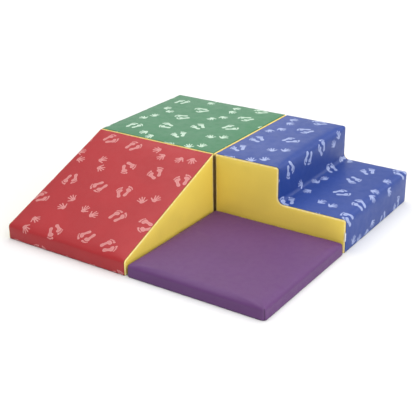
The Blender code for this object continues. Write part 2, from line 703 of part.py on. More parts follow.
def build_ramp(climber):
    """Builds the ramp, which runs down to the front. Its own +Y side meets the mat."""
    frame = new_frame("ramp_frame", LEFT * MODULE_OFFSET + NEAR * MODULE_OFFSET, -SQUARE_TURN, climber)
    corners = [(-HALF_SIDE, PLATFORM_HEIGHT), (HALF_SIDE, RAMP_LIP_HEIGHT), (HALF_SIDE, 0)]
    faces = [Face(TOP_CROWN, FACE_CUTS), Face()]
    module = Module(corners, [RAMP_FOLD_RADIUS], faces)
    foam_corners = [(TAPE_ROOM - HALF_SIDE, PLATFORM_HEIGHT - TAPE_ROOM * slope_of(corners))] + corners[1:]
    Module(foam_corners, [RAMP_FOLD_RADIUS], faces).foam("ramp_foam_core", frame, near_crown=SIDE_CROWN)
    new_panel("ramp_slope_panel", module.band_rows(), module.columns(FACE_CUTS), FAR, RED_VINYL, frame)
    new_panel("ramp_base_panel", module.base_rows(), module.columns(), FAR, BASE_VINYL, frame)
    module.side_panel("ramp_right_side_panel", FAR, frame)
    module.side_panel("ramp_left_side_panel", NEAR, frame, SIDE_CROWN)
    back_panel("ramp_back_panel", module, frame)
    new_zip("ramp", LEFT * HALF_SIDE + UP * ZIP_HEIGHT, SQUARE_TURN, frame)
    new_strip_pair("ramp_back_hook", ("left", "right"), LEFT, FAR, HOOK_CLOTH, frame)
    new_mat_strip("ramp_mat_hook_strip", FAR, RIGHT, HOOK_CLOTH, frame)


def slope_of(corners):
    """Fall of the profile's first run for each length along it."""
    (start_run, start_height), (end_run, end_height) = corners[:2]
    return (start_height - end_height) / (end_run - start_run)


def build_stairs(climber):
    """Builds the two-step block, whose foam is two glued slabs. Its own -Y side meets the mat."""
    frame = new_frame("stairs_frame", RIGHT * MODULE_OFFSET + FAR * MODULE_OFFSET, 0, climber)
    top = Face(TREAD_CROWN, FACE_CUTS)
    front = Face(FRONT_CROWN, FACE_CUTS)
    foot = [(HALF_SIDE, TREAD_HEIGHT), (HALF_SIDE, 0)]
    corners = [(-HALF_SIDE, PLATFORM_HEIGHT), (STEP_PLACE, PLATFORM_HEIGHT), (STEP_PLACE, TREAD_HEIGHT)]
    module = Module(corners + foot, [NOSING_RADIUS, COVE_RADIUS, NOSING_RADIUS],
                    [top, Face(), top, front])
    back = TAPE_ROOM - HALF_SIDE
    tread_start = STEP_PLACE + COVE_RADIUS
    slab_start = back + SEAM_ROLL
    slab_end = HALF_SIDE - NOSING_RADIUS
    tread = Face(TREAD_CROWN, FACE_CUTS, (tread_start - slab_start) / (slab_end - slab_start))
    slab = Module([(back, TREAD_HEIGHT)] + foot, [NOSING_RADIUS], [tread, front])
    slab.foam("stairs_lower_foam_core", frame)
    joint_height = TREAD_HEIGHT - 2 * FOAM_INSET + PART_CLEARANCE
    block = Module([(back, PLATFORM_HEIGHT), (STEP_PLACE, PLATFORM_HEIGHT), (STEP_PLACE, joint_height)],
                   [NOSING_RADIUS], [top, Face()])
    block.foam("stairs_upper_foam_core", frame)
    new_panel("stairs_step_panel", module.band_rows(), module.columns(FACE_CUTS), FAR, BLUE_VINYL, frame)
    new_panel("stairs_base_panel", module.base_rows(), module.columns(), FAR, BASE_VINYL, frame)
    module.side_panel("stairs_near_side_panel", NEAR, frame)
    module.side_panel("stairs_far_side_panel", FAR, frame)
    back_panel("stairs_back_panel", module, frame)
    new_zip("stairs", LEFT * HALF_SIDE + UP * ZIP_HEIGHT, SQUARE_TURN, frame)
    new_strip_pair("stairs_back_hook", ("near", "far"), LEFT, FAR, HOOK_CLOTH, frame)
    new_seam_tab("stairs_seam_tab", frame)


def build_mat(climber):
    """Builds the floor mat, whose one-piece cover turns down over its edges to the base."""
    frame = new_frame("mat_frame", RIGHT * MODULE_OFFSET + NEAR * MODULE_OFFSET, 0, climber)
    new_object("mat_foam_core", mat_shell(FOAM_INSET, TAPE_ROOM), FOAM, frame)
    new_mat_shell("mat_top_cover", PURPLE_VINYL, frame, True)
    new_mat_shell("mat_base_panel", BASE_VINYL, frame, False)
    new_zip("mat", FAR * HALF_SIDE + UP * MAT_SKIRT_MIDDLE, 0, frame, MAT_SKIRT / 2 - MAT_TAPE_MARGIN)
    new_mat_strip("mat_loop_strip", LEFT, FAR, LOOP_CLOTH, frame)


for old in list(bpy.data.objects):
    bpy.data.objects.remove(old)

parts = bpy.data.collections.new("soft_play_climber")
bpy.context.scene.collection.children.link(parts)

RED_VINYL = make_material("red_vinyl", (0.76, 0.27, 0.29), 0.45)
GREEN_VINYL = make_material("green_vinyl", (0.40, 0.63, 0.48), 0.45)
BLUE_VINYL = make_material("blue_vinyl", (0.34, 0.41, 0.69), 0.45)
YELLOW_VINYL = make_material("yellow_vinyl", (0.85, 0.73, 0.32), 0.45)
PURPLE_VINYL = make_material("purple_vinyl", (0.51, 0.38, 0.54), 0.45)
BASE_VINYL = make_material("base_vinyl", (0.22, 0.22, 0.23), 0.8)
FOAM = make_material("foam", (0.88, 0.86, 0.78), 0.95)
HOOK_CLOTH = make_material("hook_cloth", (0.10, 0.10, 0.11), 0.7)
LOOP_CLOTH = make_material("loop_cloth", (0.12, 0.12, 0.13), 0.95)
ZIP_CLOTH = make_material("zip_cloth", (0.80, 0.69, 0.30), 0.8)
ZIP_METAL = make_material("zip_metal", (0.75, 0.75, 0.74), 0.35, 1)
TAB_CLOTH = make_material("tab_cloth", (0.95, 0.95, 0.94), 0.85)

climber_frame = new_frame("climber_frame", (RIGHT * (SIDE_CROWN - FRONT_CROWN) + NEAR * SIDE_CROWN) / 2)
build_platform(climber_frame)
build_ramp(climber_frame)
build_stairs(climber_frame)
build_mat(climber_frame)
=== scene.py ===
"""Visual model of a soft play climber: four foam modules in sewn vinyl covers, set in a square.

Each cover is made as one closed form, blown up a little by a cloth simulation, and then taken apart
at its seams into the panels that it is sewn from. All sizes are in metres. A module is built about
the middle of its own foot, with its run along its own +X, and is put in its place at the end.
"""

import logging
from collections.abc import Callable, Iterable, Sequence
from dataclasses import dataclass, field
from enum import Enum
from functools import cache, cached_property
from math import asin, cos, pi, radians, sin, tan, tanh
from typing import Any

import bmesh
import bpy
from bmesh.types import BMEdge, BMesh, BMFace, BMVert
from bpy.types import Material, NodeSocket, NodeTree, Object
from mathutils import Matrix, Vector, noise
from mathutils.kdtree import KDTree


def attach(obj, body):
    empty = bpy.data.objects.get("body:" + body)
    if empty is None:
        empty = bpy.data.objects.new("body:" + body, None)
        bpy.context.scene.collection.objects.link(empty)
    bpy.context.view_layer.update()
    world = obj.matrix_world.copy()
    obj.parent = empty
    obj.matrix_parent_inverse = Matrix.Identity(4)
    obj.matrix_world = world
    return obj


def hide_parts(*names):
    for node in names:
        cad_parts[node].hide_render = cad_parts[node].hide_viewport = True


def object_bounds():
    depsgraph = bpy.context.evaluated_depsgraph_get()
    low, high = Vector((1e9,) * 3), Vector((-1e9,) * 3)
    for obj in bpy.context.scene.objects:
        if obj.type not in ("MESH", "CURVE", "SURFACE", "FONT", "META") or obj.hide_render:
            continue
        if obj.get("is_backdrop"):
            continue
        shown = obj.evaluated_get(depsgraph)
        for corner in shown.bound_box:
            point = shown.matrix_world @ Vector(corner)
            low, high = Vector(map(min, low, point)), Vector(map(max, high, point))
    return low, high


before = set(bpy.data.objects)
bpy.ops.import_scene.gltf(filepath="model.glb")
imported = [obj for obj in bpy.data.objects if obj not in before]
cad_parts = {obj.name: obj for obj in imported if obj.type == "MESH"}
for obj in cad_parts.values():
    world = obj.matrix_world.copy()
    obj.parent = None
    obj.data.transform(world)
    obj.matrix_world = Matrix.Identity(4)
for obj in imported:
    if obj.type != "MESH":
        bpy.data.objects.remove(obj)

CAD_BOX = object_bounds()
LOG = logging.getLogger("climber")

HALF_SIDE = 0.304
BLOCK_HEIGHT = 0.298
TREAD_HEIGHT = 0.143
LIP_HEIGHT = 0.062
MAT_HEIGHT = 0.053
MODULE_OFFSET = 0.30605
CLIMBER_SHIFT = (0.0005, -0.002)
SEAM_ROLL = 0.0048
FOOT_ROLL = 0.0018
CLOTH_THICKNESS = 0.001
FOAM_DEPTH = 0.0018
HALF_ZIP = 0.240
HALF_SLOT = 0.0045
CUT_PITCH = 0.016
NEAR_SEAM = (0.006, 0.014, 0.026)
PRINT_PITCH = 0.134
STITCH_PITCH = 0.0042
TINY = 1e-5

UP, DOWN = Vector((0, 0, 1)), Vector((0, 0, -1))
RIGHT, LEFT = Vector((1, 0, 0)), Vector((-1, 0, 0))
FAR, NEAR = Vector((0, 1, 0)), Vector((0, -1, 0))

Colour = tuple[float, float, float]

CLOTH_SETTINGS = {
    "quality": 6, "mass": 0.3, "tension_stiffness": 30, "compression_stiffness": 30,
    "shear_stiffness": 15, "bending_stiffness": 3, "vertex_group_mass": "pins", "use_pressure": True,
    "uniform_pressure_force": 4}


class Motif(Enum):
    """A small print on the patterned vinyl, as strokes in millimetres with its own +Y up.

    Each stroke is its two ends, its radius, and whether it melts into the strokes before it."""

    FOOT = (
        ((-3.4, 12.0), (4.8, 8.4), 8.3, True),
        ((3.6, 5.0), (1.6, -16.0), 6.0, True),
        ((0.6, -19.0), (0.4, -21.5), 7.6, True),
        ((-7.6, 29.2), (-6.8, 27.0), 3.9, False),
        ((0.2, 29.0), (0.4, 26.8), 2.6, False),
        ((6.0, 26.4), (5.6, 24.4), 2.4, False),
        ((10.9, 22.6), (10.3, 21.0), 2.2, False),
        ((15.0, 18.2), (14.4, 16.8), 2.1, False),
    )
    HAND = (
        ((-3.0, -8.0), (3.2, -8.6), 7.2, True),
        ((-7.0, -9.6), (-20.4, -1.4), 2.5, False),
        ((-4.6, -2.0), (-11.8, 17.0), 2.3, False),
        ((0.0, -1.0), (-0.2, 21.6), 2.4, False),
        ((4.2, -2.0), (11.4, 18.0), 2.3, False),
        ((7.4, -5.6), (19.8, 7.0), 2.1, False),
    )


@dataclass(frozen=True)
class Value:
    """One output of a shader node. A sum with it adds a Math node."""

    graph: "Graph"
    socket: NodeSocket

    def __getitem__(self, key: str | int) -> "Value":
        """Returns another output of the same node."""
        return Value(self.graph, self.socket.node.outputs[key])

    def __add__(self, other: "Value | float") -> "Value":
        """Returns the sum."""
        return self.graph.math("ADD", self, other)

    def __sub__(self, other: "Value | float") -> "Value":
        """Returns the difference."""
        return self.graph.math("SUBTRACT", self, other)

    def __mul__(self, other: "Value | float") -> "Value":
        """Returns the product."""
        return self.graph.math("MULTIPLY", self, other)


class Graph:
    """Adds nodes to one shader tree and joins them."""

    def __init__(self, tree: NodeTree) -> None:
        """Takes the tree to add to."""
        self.tree = tree

    def join(self, socket: NodeSocket, value: Any) -> None:
        """Joins a value to an input, or sets the input to it.

        Args:
            socket: The input.
            value: A Value, or a number, a vector or a colour.
        """
        if isinstance(value, Value):
            self.tree.links.new(value.socket, socket)
        else:
            socket.default_value = (*value, 1) if socket.type == "RGBA" else value

    def add(self, kind: str, inputs: dict[str | int, Any] | None = None, **settings: Any) -> Value:
        """Adds one node.

        Args:
            kind: The node's type, without its prefix.
            inputs: What each input gets.
            settings: The node's own settings.

        Returns:
            Its first output.
        """
        node = self.tree.nodes.new("ShaderNode" + kind)
        for name, value in settings.items():
            setattr(node, name, value)
        for key, value in (inputs or {}).items():
            self.join(node.inputs[key], value)
        return Value(self, node.outputs[0])

    def math(self, operation: str, *values: Any, clamp: bool = False) -> Value:
        """Returns what a Math node works out from some numbers."""
        return self.add("Math", dict(enumerate(values)), operation=operation, use_clamp=clamp)

    def vector(self, operation: str, *values: Any) -> Value:
        """Adds a Vector Math node.

        Args:
            operation: What it works out. SCALE takes its number second.
            values: Its inputs, in order.

        Returns:
            The result, a vector or a number.
        """
        keys = (0, "Scale") if operation == "SCALE" else (0, 1)
        made = self.add("VectorMath", dict(zip(keys, values)), operation=operation)
        return made["Value"] if operation in ("DISTANCE", "DOT_PRODUCT", "LENGTH") else made

    def split(self, vector: Any) -> Value:
        """Returns a vector's first part. The others are its items 1 and 2."""
        return self.add("SeparateXYZ", {0: vector})

    def combine(self, first: Any, second: Any) -> Value:
        """Returns the flat vector of two parts."""
        return self.add("CombineXYZ", {0: first, 1: second})

    def turned(self, vector: Any, angle: Any) -> Value:
        """Returns a flat vector turned by an angle."""
        return self.add("VectorRotate", {"Vector": vector, "Angle": angle}, rotation_type="Z_AXIS")

    def ramp(self, value: Any, low: float, high: float, start: float = 0.0, end: float = 1.0,
             smooth: bool = True) -> Value:
        """Maps a value from one range to another, held at both ends.

        Args:
            value: The value.
            low: Where the result is start.
            high: Where the result is end.
            start: The first result.
            end: The last result.
            smooth: Whether it eases at both ends.

        Returns:
            The mapped value.
        """
        kind = "SMOOTHSTEP" if smooth else "LINEAR"
        inputs = {"Value": value, "From Min": low, "From Max": high, "To Min": start, "To Max": end}
        return self.add("MapRange", inputs, interpolation_type=kind)

    def noise(self, place: Any, scale: float, detail: float = 2.0, rough: float = 0.5) -> Value:
        """Adds a noise texture.

        Args:
            place: The coordinates.
            scale: Its features for each metre.
            detail: Its octaves.
            rough: How strong the finer octaves are.

        Returns:
            Its value.
        """
        inputs = {"Vector": place, "Scale": scale, "Detail": detail, "Roughness": rough}
        return self.add("TexNoise", inputs)

    def cells(self, place: Any, scale: float, random: float = 1.0, **settings: Any) -> Value:
        """Adds a cell texture.

        Args:
            place: The coordinates.
            scale: Its cells for each metre.
            random: How uneven the cells are.
            settings: The node's own settings.

        Returns:
            The distance within its cells.
        """
        return self.add("TexVoronoi", {"Vector": place, "Scale": scale, "Randomness": random}, **settings)

    def coat(self, colour: Any, *coats: tuple[Any, Any]) -> Value:
        """Lays coats over a colour.

        Args:
            colour: The colour beneath.
            coats: How much there is of each coat, and its colour.

        Returns:
            The colour that shows.
        """
        for share, over in coats:
            colour = self.add("Mix", {0: share, 6: colour, 7: over}, data_type="RGBA")[2]
        return colour

    def effect(self, effect: NodeTree, **inputs: Any) -> Value:
        """Places a shared effect, and returns its first output."""
        return self.add("Group", inputs, node_tree=effect)


class EffectTree(Graph):
    """A shader node group under construction."""

    def __init__(self, name: str, **inputs: str) -> None:
        """Makes an empty group.

        Args:
            name: The group's name.
            inputs: The kind of each named input, Float or Vector.
        """
        super().__init__(bpy.data.node_groups.new(name, "ShaderNodeTree"))
        for key, kind in inputs.items():
            self.tree.interface.new_socket(key, in_out="INPUT", socket_type="NodeSocket" + kind)
        given = self.tree.nodes.new("NodeGroupInput").outputs
        self.given = [Value(self, given[key]) for key in inputs]

    def give(self, **results: Value) -> NodeTree:
        """Joins results to number outputs of the same names.

        Args:
            results: The value for each output.

        Returns:
            The finished group.
        """
        for key in results:
            self.tree.interface.new_socket(key, in_out="OUTPUT", socket_type="NodeSocketFloat")
        outputs = self.tree.nodes.new("NodeGroupOutput").inputs
        for key, value in results.items():
            self.join(outputs[key], value)
        return self.tree


@cache
def stroke_effect() -> NodeTree:
    """Makes the effect that gives the distance to a round-ended stroke.

    Returns:
        The effect.
    """
    tree = EffectTree("stroke", point="Vector", start="Vector", end="Vector", radius="Float")
    point, start, end, radius = tree.given
    along = tree.vector("SUBTRACT", end, start)
    reach = tree.vector("SUBTRACT", point, start)
    share = tree.math("DIVIDE", tree.vector("DOT_PRODUCT", reach, along),
                      tree.vector("DOT_PRODUCT", along, along), clamp=True)
    return tree.give(distance=tree.vector("DISTANCE", reach, tree.vector("SCALE", along, share)) - radius)


@cache
def motif_effect(motif: Motif) -> NodeTree:
    """Makes the effect that gives the distance to one print's outline, in millimetres.

    Args:
        motif: The print.

    Returns:
        The effect.
    """
    tree = EffectTree(motif.name.lower() + "_print", point="Vector")
    whole = None
    for start, end, radius, melts in motif.value:
        stroke = tree.effect(stroke_effect(), point=tree.given[0], start=(*start, 0), end=(*end, 0),
                             radius=radius)
        whole = tree.math("SMOOTH_MIN" if melts else "MINIMUM", whole, stroke, 5.0) if whole else stroke
    return tree.give(distance=whole)


@cache
def prints_effect() -> NodeTree:
    """Makes the effect that strews pairs of foot and hand prints over cloth, each turned its own way.

    The cloth is divided into cells, every second row half a cell aside, with one pair in each.

    Returns:
        The effect.
    """
    tree = EffectTree("strewn_prints", cloth="Vector")
    cloth = tree.given[0]
    split = tree.split(tree.vector("DIVIDE", cloth, (PRINT_PITCH, PRINT_PITCH, 1)))
    row = tree.math("FLOOR", split[1])
    run = split[0] + tree.math("FLOORED_MODULO", row, 2.0) * 0.5
    column = tree.math("FLOOR", run)
    chance = tree.add("TexWhiteNoise", {"Vector": tree.combine(column, row)}, noise_dimensions="2D")
    inside = tree.vector("SCALE", tree.combine(run - column - 0.5, split[1] - row - 0.5),
                         PRINT_PITCH * 1000)
    jitter = tree.vector("SCALE", tree.vector("SUBTRACT", chance["Color"], (0.5, 0.5, 0.5)), 26.0)
    inside = tree.vector("MULTIPLY", tree.vector("SUBTRACT", inside, jitter), (1, 1, 0))
    place = tree.split(tree.turned(inside, chance * (2 * pi)))
    splay = tree.split(chance["Color"])[2]
    side = tree.math("SIGN", place)
    distances = []
    for motif, aside, stagger, least, most in (
            (Motif.FOOT, 16.2, 4.0, 0, 18), (Motif.HAND, 27.0, 6.0, 4, 26)):
        mirrored = tree.combine(tree.math("ABSOLUTE", place) - aside, place[1] + side * stagger)
        angle = tree.ramp(splay, 0.0, 1.0, radians(least), radians(most), smooth=False)
        distances.append(tree.effect(motif_effect(motif), point=tree.turned(mirrored, angle)))
    fifth = tree.math("FLOORED_MODULO", column + row * 2.0, 5.0)
    distance = tree.add("Mix", {0: tree.math("LESS_THAN", fifth, 1.5), 2: distances[0], 3: distances[1]})
    wander = (tree.noise(cloth, 260.0) - 0.5) * 1.2
    ridges = tree.math("SINE", (distance + wander * 2.2) * 3.6)
    ink = tree.ramp(distance, -3.2, -1.4, 0.74, 0.98) + ridges * 0.10
    ink = ink + tree.ramp(tree.noise(cloth, 900.0), 0.35, 0.7, -0.07, 0.07)
    return tree.give(print=tree.ramp(distance + wander, -0.3, 0.4, 1.0, 0.0), ink=ink)


@cache
def grain_effect() -> NodeTree:
    """Makes the effect of a fine leather grain pressed into vinyl.

    Returns:
        The effect.
    """
    tree = EffectTree("vinyl_grain", place="Vector")
    place = tree.given[0]
    bend = tree.noise(place, 340.0, 1.0)["Color"]
    bent = tree.vector("ADD", place, tree.vector("SCALE", bend, 0.0012))
    pebble = tree.ramp(tree.cells(bent, 820.0, feature="DISTANCE_TO_EDGE"), 0.0, 0.22)
    height = pebble * 0.75 + tree.noise(bent, 2600.0) * 0.25
    return tree.give(height=height, shade=tree.ramp(height, 0.1, 0.8, -1.0, 1.0))


@cache
def mottle_effect() -> NodeTree:
    """Makes the effect of broad and small patches, where cloth was handled, bleached or rubbed.

    Returns:
        The effect.
    """
    tree = EffectTree("handling_patches", place="Vector")
    place = tree.given[0]
    stretched = tree.vector("MULTIPLY", place, (1.0, 0.22, 0.6))
    return tree.give(broad=tree.ramp(tree.noise(place, 5.5), 0.3, 0.7, -1.0, 1.0),
                     smear=tree.ramp(tree.noise(place, 34.0, 4.0, 0.6), 0.35, 0.7),
                     scuff=tree.ramp(tree.noise(stretched, 240.0, 5.0, 0.7), 0.63, 0.78))


@cache
def seam_effect() -> NodeTree:
    """Makes the effect of a sewn seam: painted shade in its crease, a shoulder painted paler as rubbed
    wear and as a painted highlight, small puckers and stitches.

    The sum of a place's coordinates grows evenly along any seam, so it spaces the stitches.

    Returns:
        The effect.
    """
    tree = EffectTree("sewn_seam", place="Vector", distance="Float")
    place, distance = tree.given
    shoulder = tree.ramp(distance, 0.001, 0.0035) * tree.ramp(distance, 0.0035, 0.009, 1.0, 0.0)
    pucker = tree.ramp(distance, 0.0015, 0.016, 1.0, 0.0) * tree.noise(place, 150.0)
    along = tree.vector("DOT_PRODUCT", place, (1, 1, 1))
    stitch = tree.math("SINE", along * (2 * pi / STITCH_PITCH))
    # The crease mask is for painted shade in the seam's crease; the shoulder mask is for paling that is
    # partly rubbed wear and partly a painted highlight.
    return tree.give(crease=tree.ramp(distance, 0.0004, 0.0026, 1.0, 0.0),
                     rub=shoulder * tree.ramp(tree.noise(place, 70.0, 3.0, 0.6), 0.2, 0.7),
                     pucker=pucker + stitch * tree.ramp(distance, 0.0006, 0.0040, 0.10, 0.0))


@cache
def grime_effect() -> NodeTree:
    """Makes the mask of the painted shade down the joint where the four modules meet, fading out near its
    top.

    Returns:
        The effect.
    """
    tree = EffectTree("joint_grime", place="Vector")
    place = tree.given[0]
    level = tree.vector("LENGTH", tree.vector("MULTIPLY", place, (1, 1, 0)))
    near = tree.ramp(level + tree.noise(place, 60.0, 3.0) * 0.003, 0.006, 0.0135, 1.0, 0.0)
    return tree.give(grime=near * tree.ramp(tree.split(place)[2], 0.282, 0.292, 1.0, 0.0))


@cache
def weave_effect() -> NodeTree:
    """Makes the effect of a plain weave, over and under, with uneven threads.

    Returns:
        The effect.
    """
    tree = EffectTree("plain_weave", cloth="Vector", threads="Float")
    cloth, threads = tree.given
    split = tree.split(tree.vector("SCALE", cloth, threads))
    across, along = (tree.math("SINE", split[axis] * pi) for axis in (0, 1))
    over = across * along
    height = tree.math("MAXIMUM", tree.math("ABSOLUTE", across) * tree.ramp(over, -0.2, 0.2, 1.0, 0.6),
                       tree.math("ABSOLUTE", along) * tree.ramp(over, -0.2, 0.2, 0.6, 1.0))
    fuzz = tree.noise(cloth, 1800.0, 3.0, 0.7)
    return tree.give(height=height + fuzz * 0.25, shade=height * tree.ramp(fuzz, 0.3, 0.7, 0.82, 1.0))


@cache
def nap_effect() -> NodeTree:
    """Makes the effect of a nap of loops, or of rows of hooks where order is 1.

    Returns:
        The effect.
    """
    tree = EffectTree("hook_or_loop_nap", cloth="Vector", order="Float")
    cloth, order = tree.given
    loop = tree.ramp(tree.cells(cloth, 900.0), 0.1, 0.6, 1.0, 0.0)
    hook = tree.ramp(tree.cells(cloth, 620.0, 0.12), 0.18, 0.4, 1.0, 0.0)
    height = tree.add("Mix", {0: order, 2: loop, 3: hook})
    worn = tree.ramp(tree.noise(cloth, 90.0, 3.0), 0.3, 0.7, 0.8, 1.15)
    return tree.give(height=height, shade=tree.ramp(height, 0.0, 1.0, 0.45, 1.0) * worn)


class Surface(Graph):
    """The nodes of one material."""

    def __init__(self, tree: NodeTree) -> None:
        """Takes the material's tree."""
        super().__init__(tree)
        self.place = self.add("TexCoord")["Object"]

    @cached_property
    def patch(self) -> Value:
        """The patches where this surface was handled, bleached or rubbed."""
        return self.effect(mottle_effect(), place=self.place)

    @cached_property
    def cloth(self) -> Value:
        """The place on the cloth, along and across its run."""
        return self.add("UVMap", uv_map="cloth")

    def finish(self, colour: Value, roughness: Value, height: Value, depth: float,
               others: dict[str, Any] | None = None) -> None:
        """Joins the nodes to the shader.

        Args:
            colour: Base colour.
            roughness: Roughness.
            height: Height of the relief.
            depth: What a height of 1 stands for, in metres.
            others: What further inputs of the shader get.
        """
        bump = self.add("Bump", {"Height": height, "Strength": 1.0, "Distance": depth})
        inputs = {"Base Color": colour, "Roughness": roughness, "Normal": bump, **(others or {})}
        for key, value in inputs.items():
            self.join(self.tree.nodes["Principled BSDF"].inputs[key], value)


@dataclass(frozen=True)
class Finish:
    """A finish of the climber, with the name of its slot: the base of every one of them."""

    name: str
    slot: str
    colour: Colour
    roughness: float

    @cache
    def material(self) -> Material:
        """Makes this finish's material, the first time that it is asked for.

        Returns:
            The material.
        """
        made = bpy.data.materials.new(self.name)
        made.use_nodes = True
        made.diffuse_color = (*self.colour, 1)
        self.dress(Surface(made.node_tree))
        return made

    def shade(self, factor: float, lift: float = 0.0) -> Colour:
        """Returns this finish's colour times a factor, with a lift towards white."""
        return tuple(min(1.0, factor * part + lift) for part in self.colour)

    def dress(self, surface: Surface) -> None:
        """Adds this finish's nodes to a material."""
        raise NotImplementedError


@dataclass(frozen=True)
class Vinyl(Finish):
    """Grained cover vinyl, plain or printed."""

    ink: Colour | None = None
    # Share of the painted shade in each seam's crease.
    crease: float = 0.72
    # How much each seam's shoulder is painted paler, and how far towards white: partly rubbed wear,
    # partly a painted highlight along the rolled edge.
    rub: float = 0.20
    rub_and_highlight_paling: float = 0.07
    # The dark brown colour of the painted shade in the joint where the modules meet.
    grime_colour: Colour = (0.062, 0.018, 0.008)

    def dress(self, surface: Surface) -> None:
        """Adds the vinyl's nodes.

        Args:
            surface: The material's nodes.
        """
        place, patch = surface.place, surface.patch
        distance = surface.add("Attribute", attribute_name="seam_distance")["Fac"]
        grain = surface.effect(grain_effect(), place=place)
        seam = surface.effect(seam_effect(), place=place, distance=distance)
        grime = surface.effect(grime_effect(), place=place)
        mottle = surface.ramp(patch["broad"], -1.0, 1.0, 0.0, 1.0)
        colour = surface.coat(self.shade(0.97), (mottle, self.shade(1.03)))
        if self.ink:
            prints = surface.effect(prints_effect(), cloth=surface.cloth)
            colour = surface.coat(colour, (prints["print"] * prints["ink"], self.ink))
        valley = surface.ramp(grain["shade"], -1.0, 0.4, 0.16, 0.0)
        colour = surface.coat(colour, (valley, self.shade(0.55)),
                              # the shoulder painted paler: rubbed wear and a painted highlight along the
                              # roll
                              (seam["rub"] * self.rub, self.shade(1 - self.rub_and_highlight_paling, self.rub_and_highlight_paling)),
                              (patch["scuff"] * 0.10, self.shade(1.05, 0.05)),
                              # painted shade in the seam's crease
                              (seam["crease"] * self.crease, self.shade(0.14)),
                              # painted shade down the joint where the modules meet
                              (grime * 0.86, self.grime_colour))
        rough = surface.ramp(patch["smear"], 0.0, 1.0, self.roughness - 0.02, self.roughness + 0.04)
        rough = rough + (seam["rub"] + seam["crease"]) * 0.12
        height = grain["height"] * 0.16 + seam["pucker"] * 2.4 + patch["smear"] * 0.2
        surface.finish(colour, rough, height, 0.0003, {"Specular IOR Level": 0.42})


@dataclass(frozen=True)
class NonSlip(Finish):
    """Coarse base cloth with small rubbery studs."""

    def dress(self, surface: Surface) -> None:
        """Adds the base cloth's nodes.

        Args:
            surface: The material's nodes.
        """
        weave = surface.effect(weave_effect(), cloth=surface.place, threads=900.0)
        studs = surface.cells(surface.place, 190.0, 0.0, voronoi_dimensions="2D")
        stud = surface.ramp(studs, 0.24, 0.32, 1.0, 0.0)
        colour = surface.coat(self.shade(0.45), (weave["shade"], self.colour), (stud, self.shade(0.35)),
                              (surface.patch["smear"] * 0.35, self.shade(1.3, 0.04)))
        rough = surface.ramp(stud, 0.0, 1.0, self.roughness, self.roughness - 0.3)
        surface.finish(colour, rough, weave["height"] * 0.2 + stud, 0.0007)


@dataclass(frozen=True)
class FoamCells(Finish):
    """Cut open-cell foam, which yellows where it ages."""

    def dress(self, surface: Surface) -> None:
        """Adds the foam's nodes.

        Args:
            surface: The material's nodes.
        """
        red, green, blue = self.colour
        pores = surface.ramp(surface.cells(surface.place, 700.0), 0.1, 0.5, 1.0, 0.0)
        # The pores are painted darker, as painted shade inside them.
        colour = surface.coat(self.colour, (pores, self.shade(0.6)),
                              (surface.patch["smear"] * 0.3, (red, green * 0.9, blue * 0.7)))
        surface.finish(colour, surface.ramp(pores, 0.0, 1.0, self.roughness, 1.0), pores * -1.0, 0.0008)


@dataclass(frozen=True)
class WovenTape(Finish):
    """Narrow woven cloth: zip tape and the seam tab."""

    threads: float = 1500.0

    def dress(self, surface: Surface) -> None:
        """Adds the tape's nodes.

        Args:
            surface: The material's nodes.
        """
        weave = surface.effect(weave_effect(), cloth=surface.cloth, threads=self.threads)
        colour = surface.coat(self.shade(0.6), (weave["shade"], self.colour),
                              (surface.patch["smear"] * 0.12, self.shade(0.75)))
        rough = surface.ramp(weave["height"], 0.0, 1.0, self.roughness + 0.08, self.roughness)
        surface.finish(colour, rough, weave["height"], 0.00012, {"Sheen Weight": 0.25})


@dataclass(frozen=True)
class NapTape(Finish):
    """Hook tape, or loop tape with order at 0."""

    order: float = 0.0
    dust: Colour = (0.16, 0.155, 0.15)

    def dress(self, surface: Surface) -> None:
        """Adds the nap's nodes.

        Args:
            surface: The material's nodes.
        """
        nap = surface.effect(nap_effect(), cloth=surface.place, order=self.order)
        colour = surface.coat(self.shade(0.3), (nap["shade"] * 0.9, self.shade(1.5)),
                              (surface.patch["smear"] * 0.2, self.dust))
        rough = surface.ramp(nap["height"], 0.0, 1.0, 1.0, self.roughness)
        surface.finish(colour, rough, nap["height"], 0.0006, {"Sheen Weight": 0.4})


@dataclass(frozen=True)
class Moulded(Finish):
    """Small moulded or cast parts: zip teeth, sliders and sewing thread."""

    metallic: float = 0.0

    def dress(self, surface: Surface) -> None:
        """Adds the nodes of a small hard part.

        Args:
            surface: The material's nodes.
        """
        cast = surface.noise(surface.place, 1400.0, 3.0)
        colour = surface.coat(self.shade(0.85), (surface.ramp(cast, 0.3, 0.7, 0.0, 1.0), self.colour),
                              (surface.patch["scuff"] * 0.5, self.shade(1.3, 0.03)))
        rough = surface.ramp(surface.patch["smear"] + cast, 0.3, 1.5, self.roughness - 0.07,
                             self.roughness + 0.12)
        surface.finish(colour, rough, cast, 0.00003, {"Metallic": self.metallic})


@dataclass(frozen=True)
class FloorPaper(Finish):
    """The pale studio floor, which glows a little beyond the lamps' reach so that no horizon shows."""

    def dress(self, surface: Surface) -> None:
        """Adds the floor's nodes.

        Args:
            surface: The material's nodes.
        """
        cloudy = surface.noise(surface.place, 1.3, 3.0)
        colour = surface.coat(self.shade(0.985), (cloudy, self.colour))
        rough = surface.ramp(cloudy, 0.2, 0.8, self.roughness - 0.05, self.roughness + 0.05)
        glow = surface.ramp(surface.vector("LENGTH", surface.place), 1.6, 6.0, 0.0, 0.55)
        surface.finish(colour, rough, surface.noise(surface.place, 420.0), 0.00005,
                       {"Emission Color": (1, 1, 1), "Emission Strength": glow})


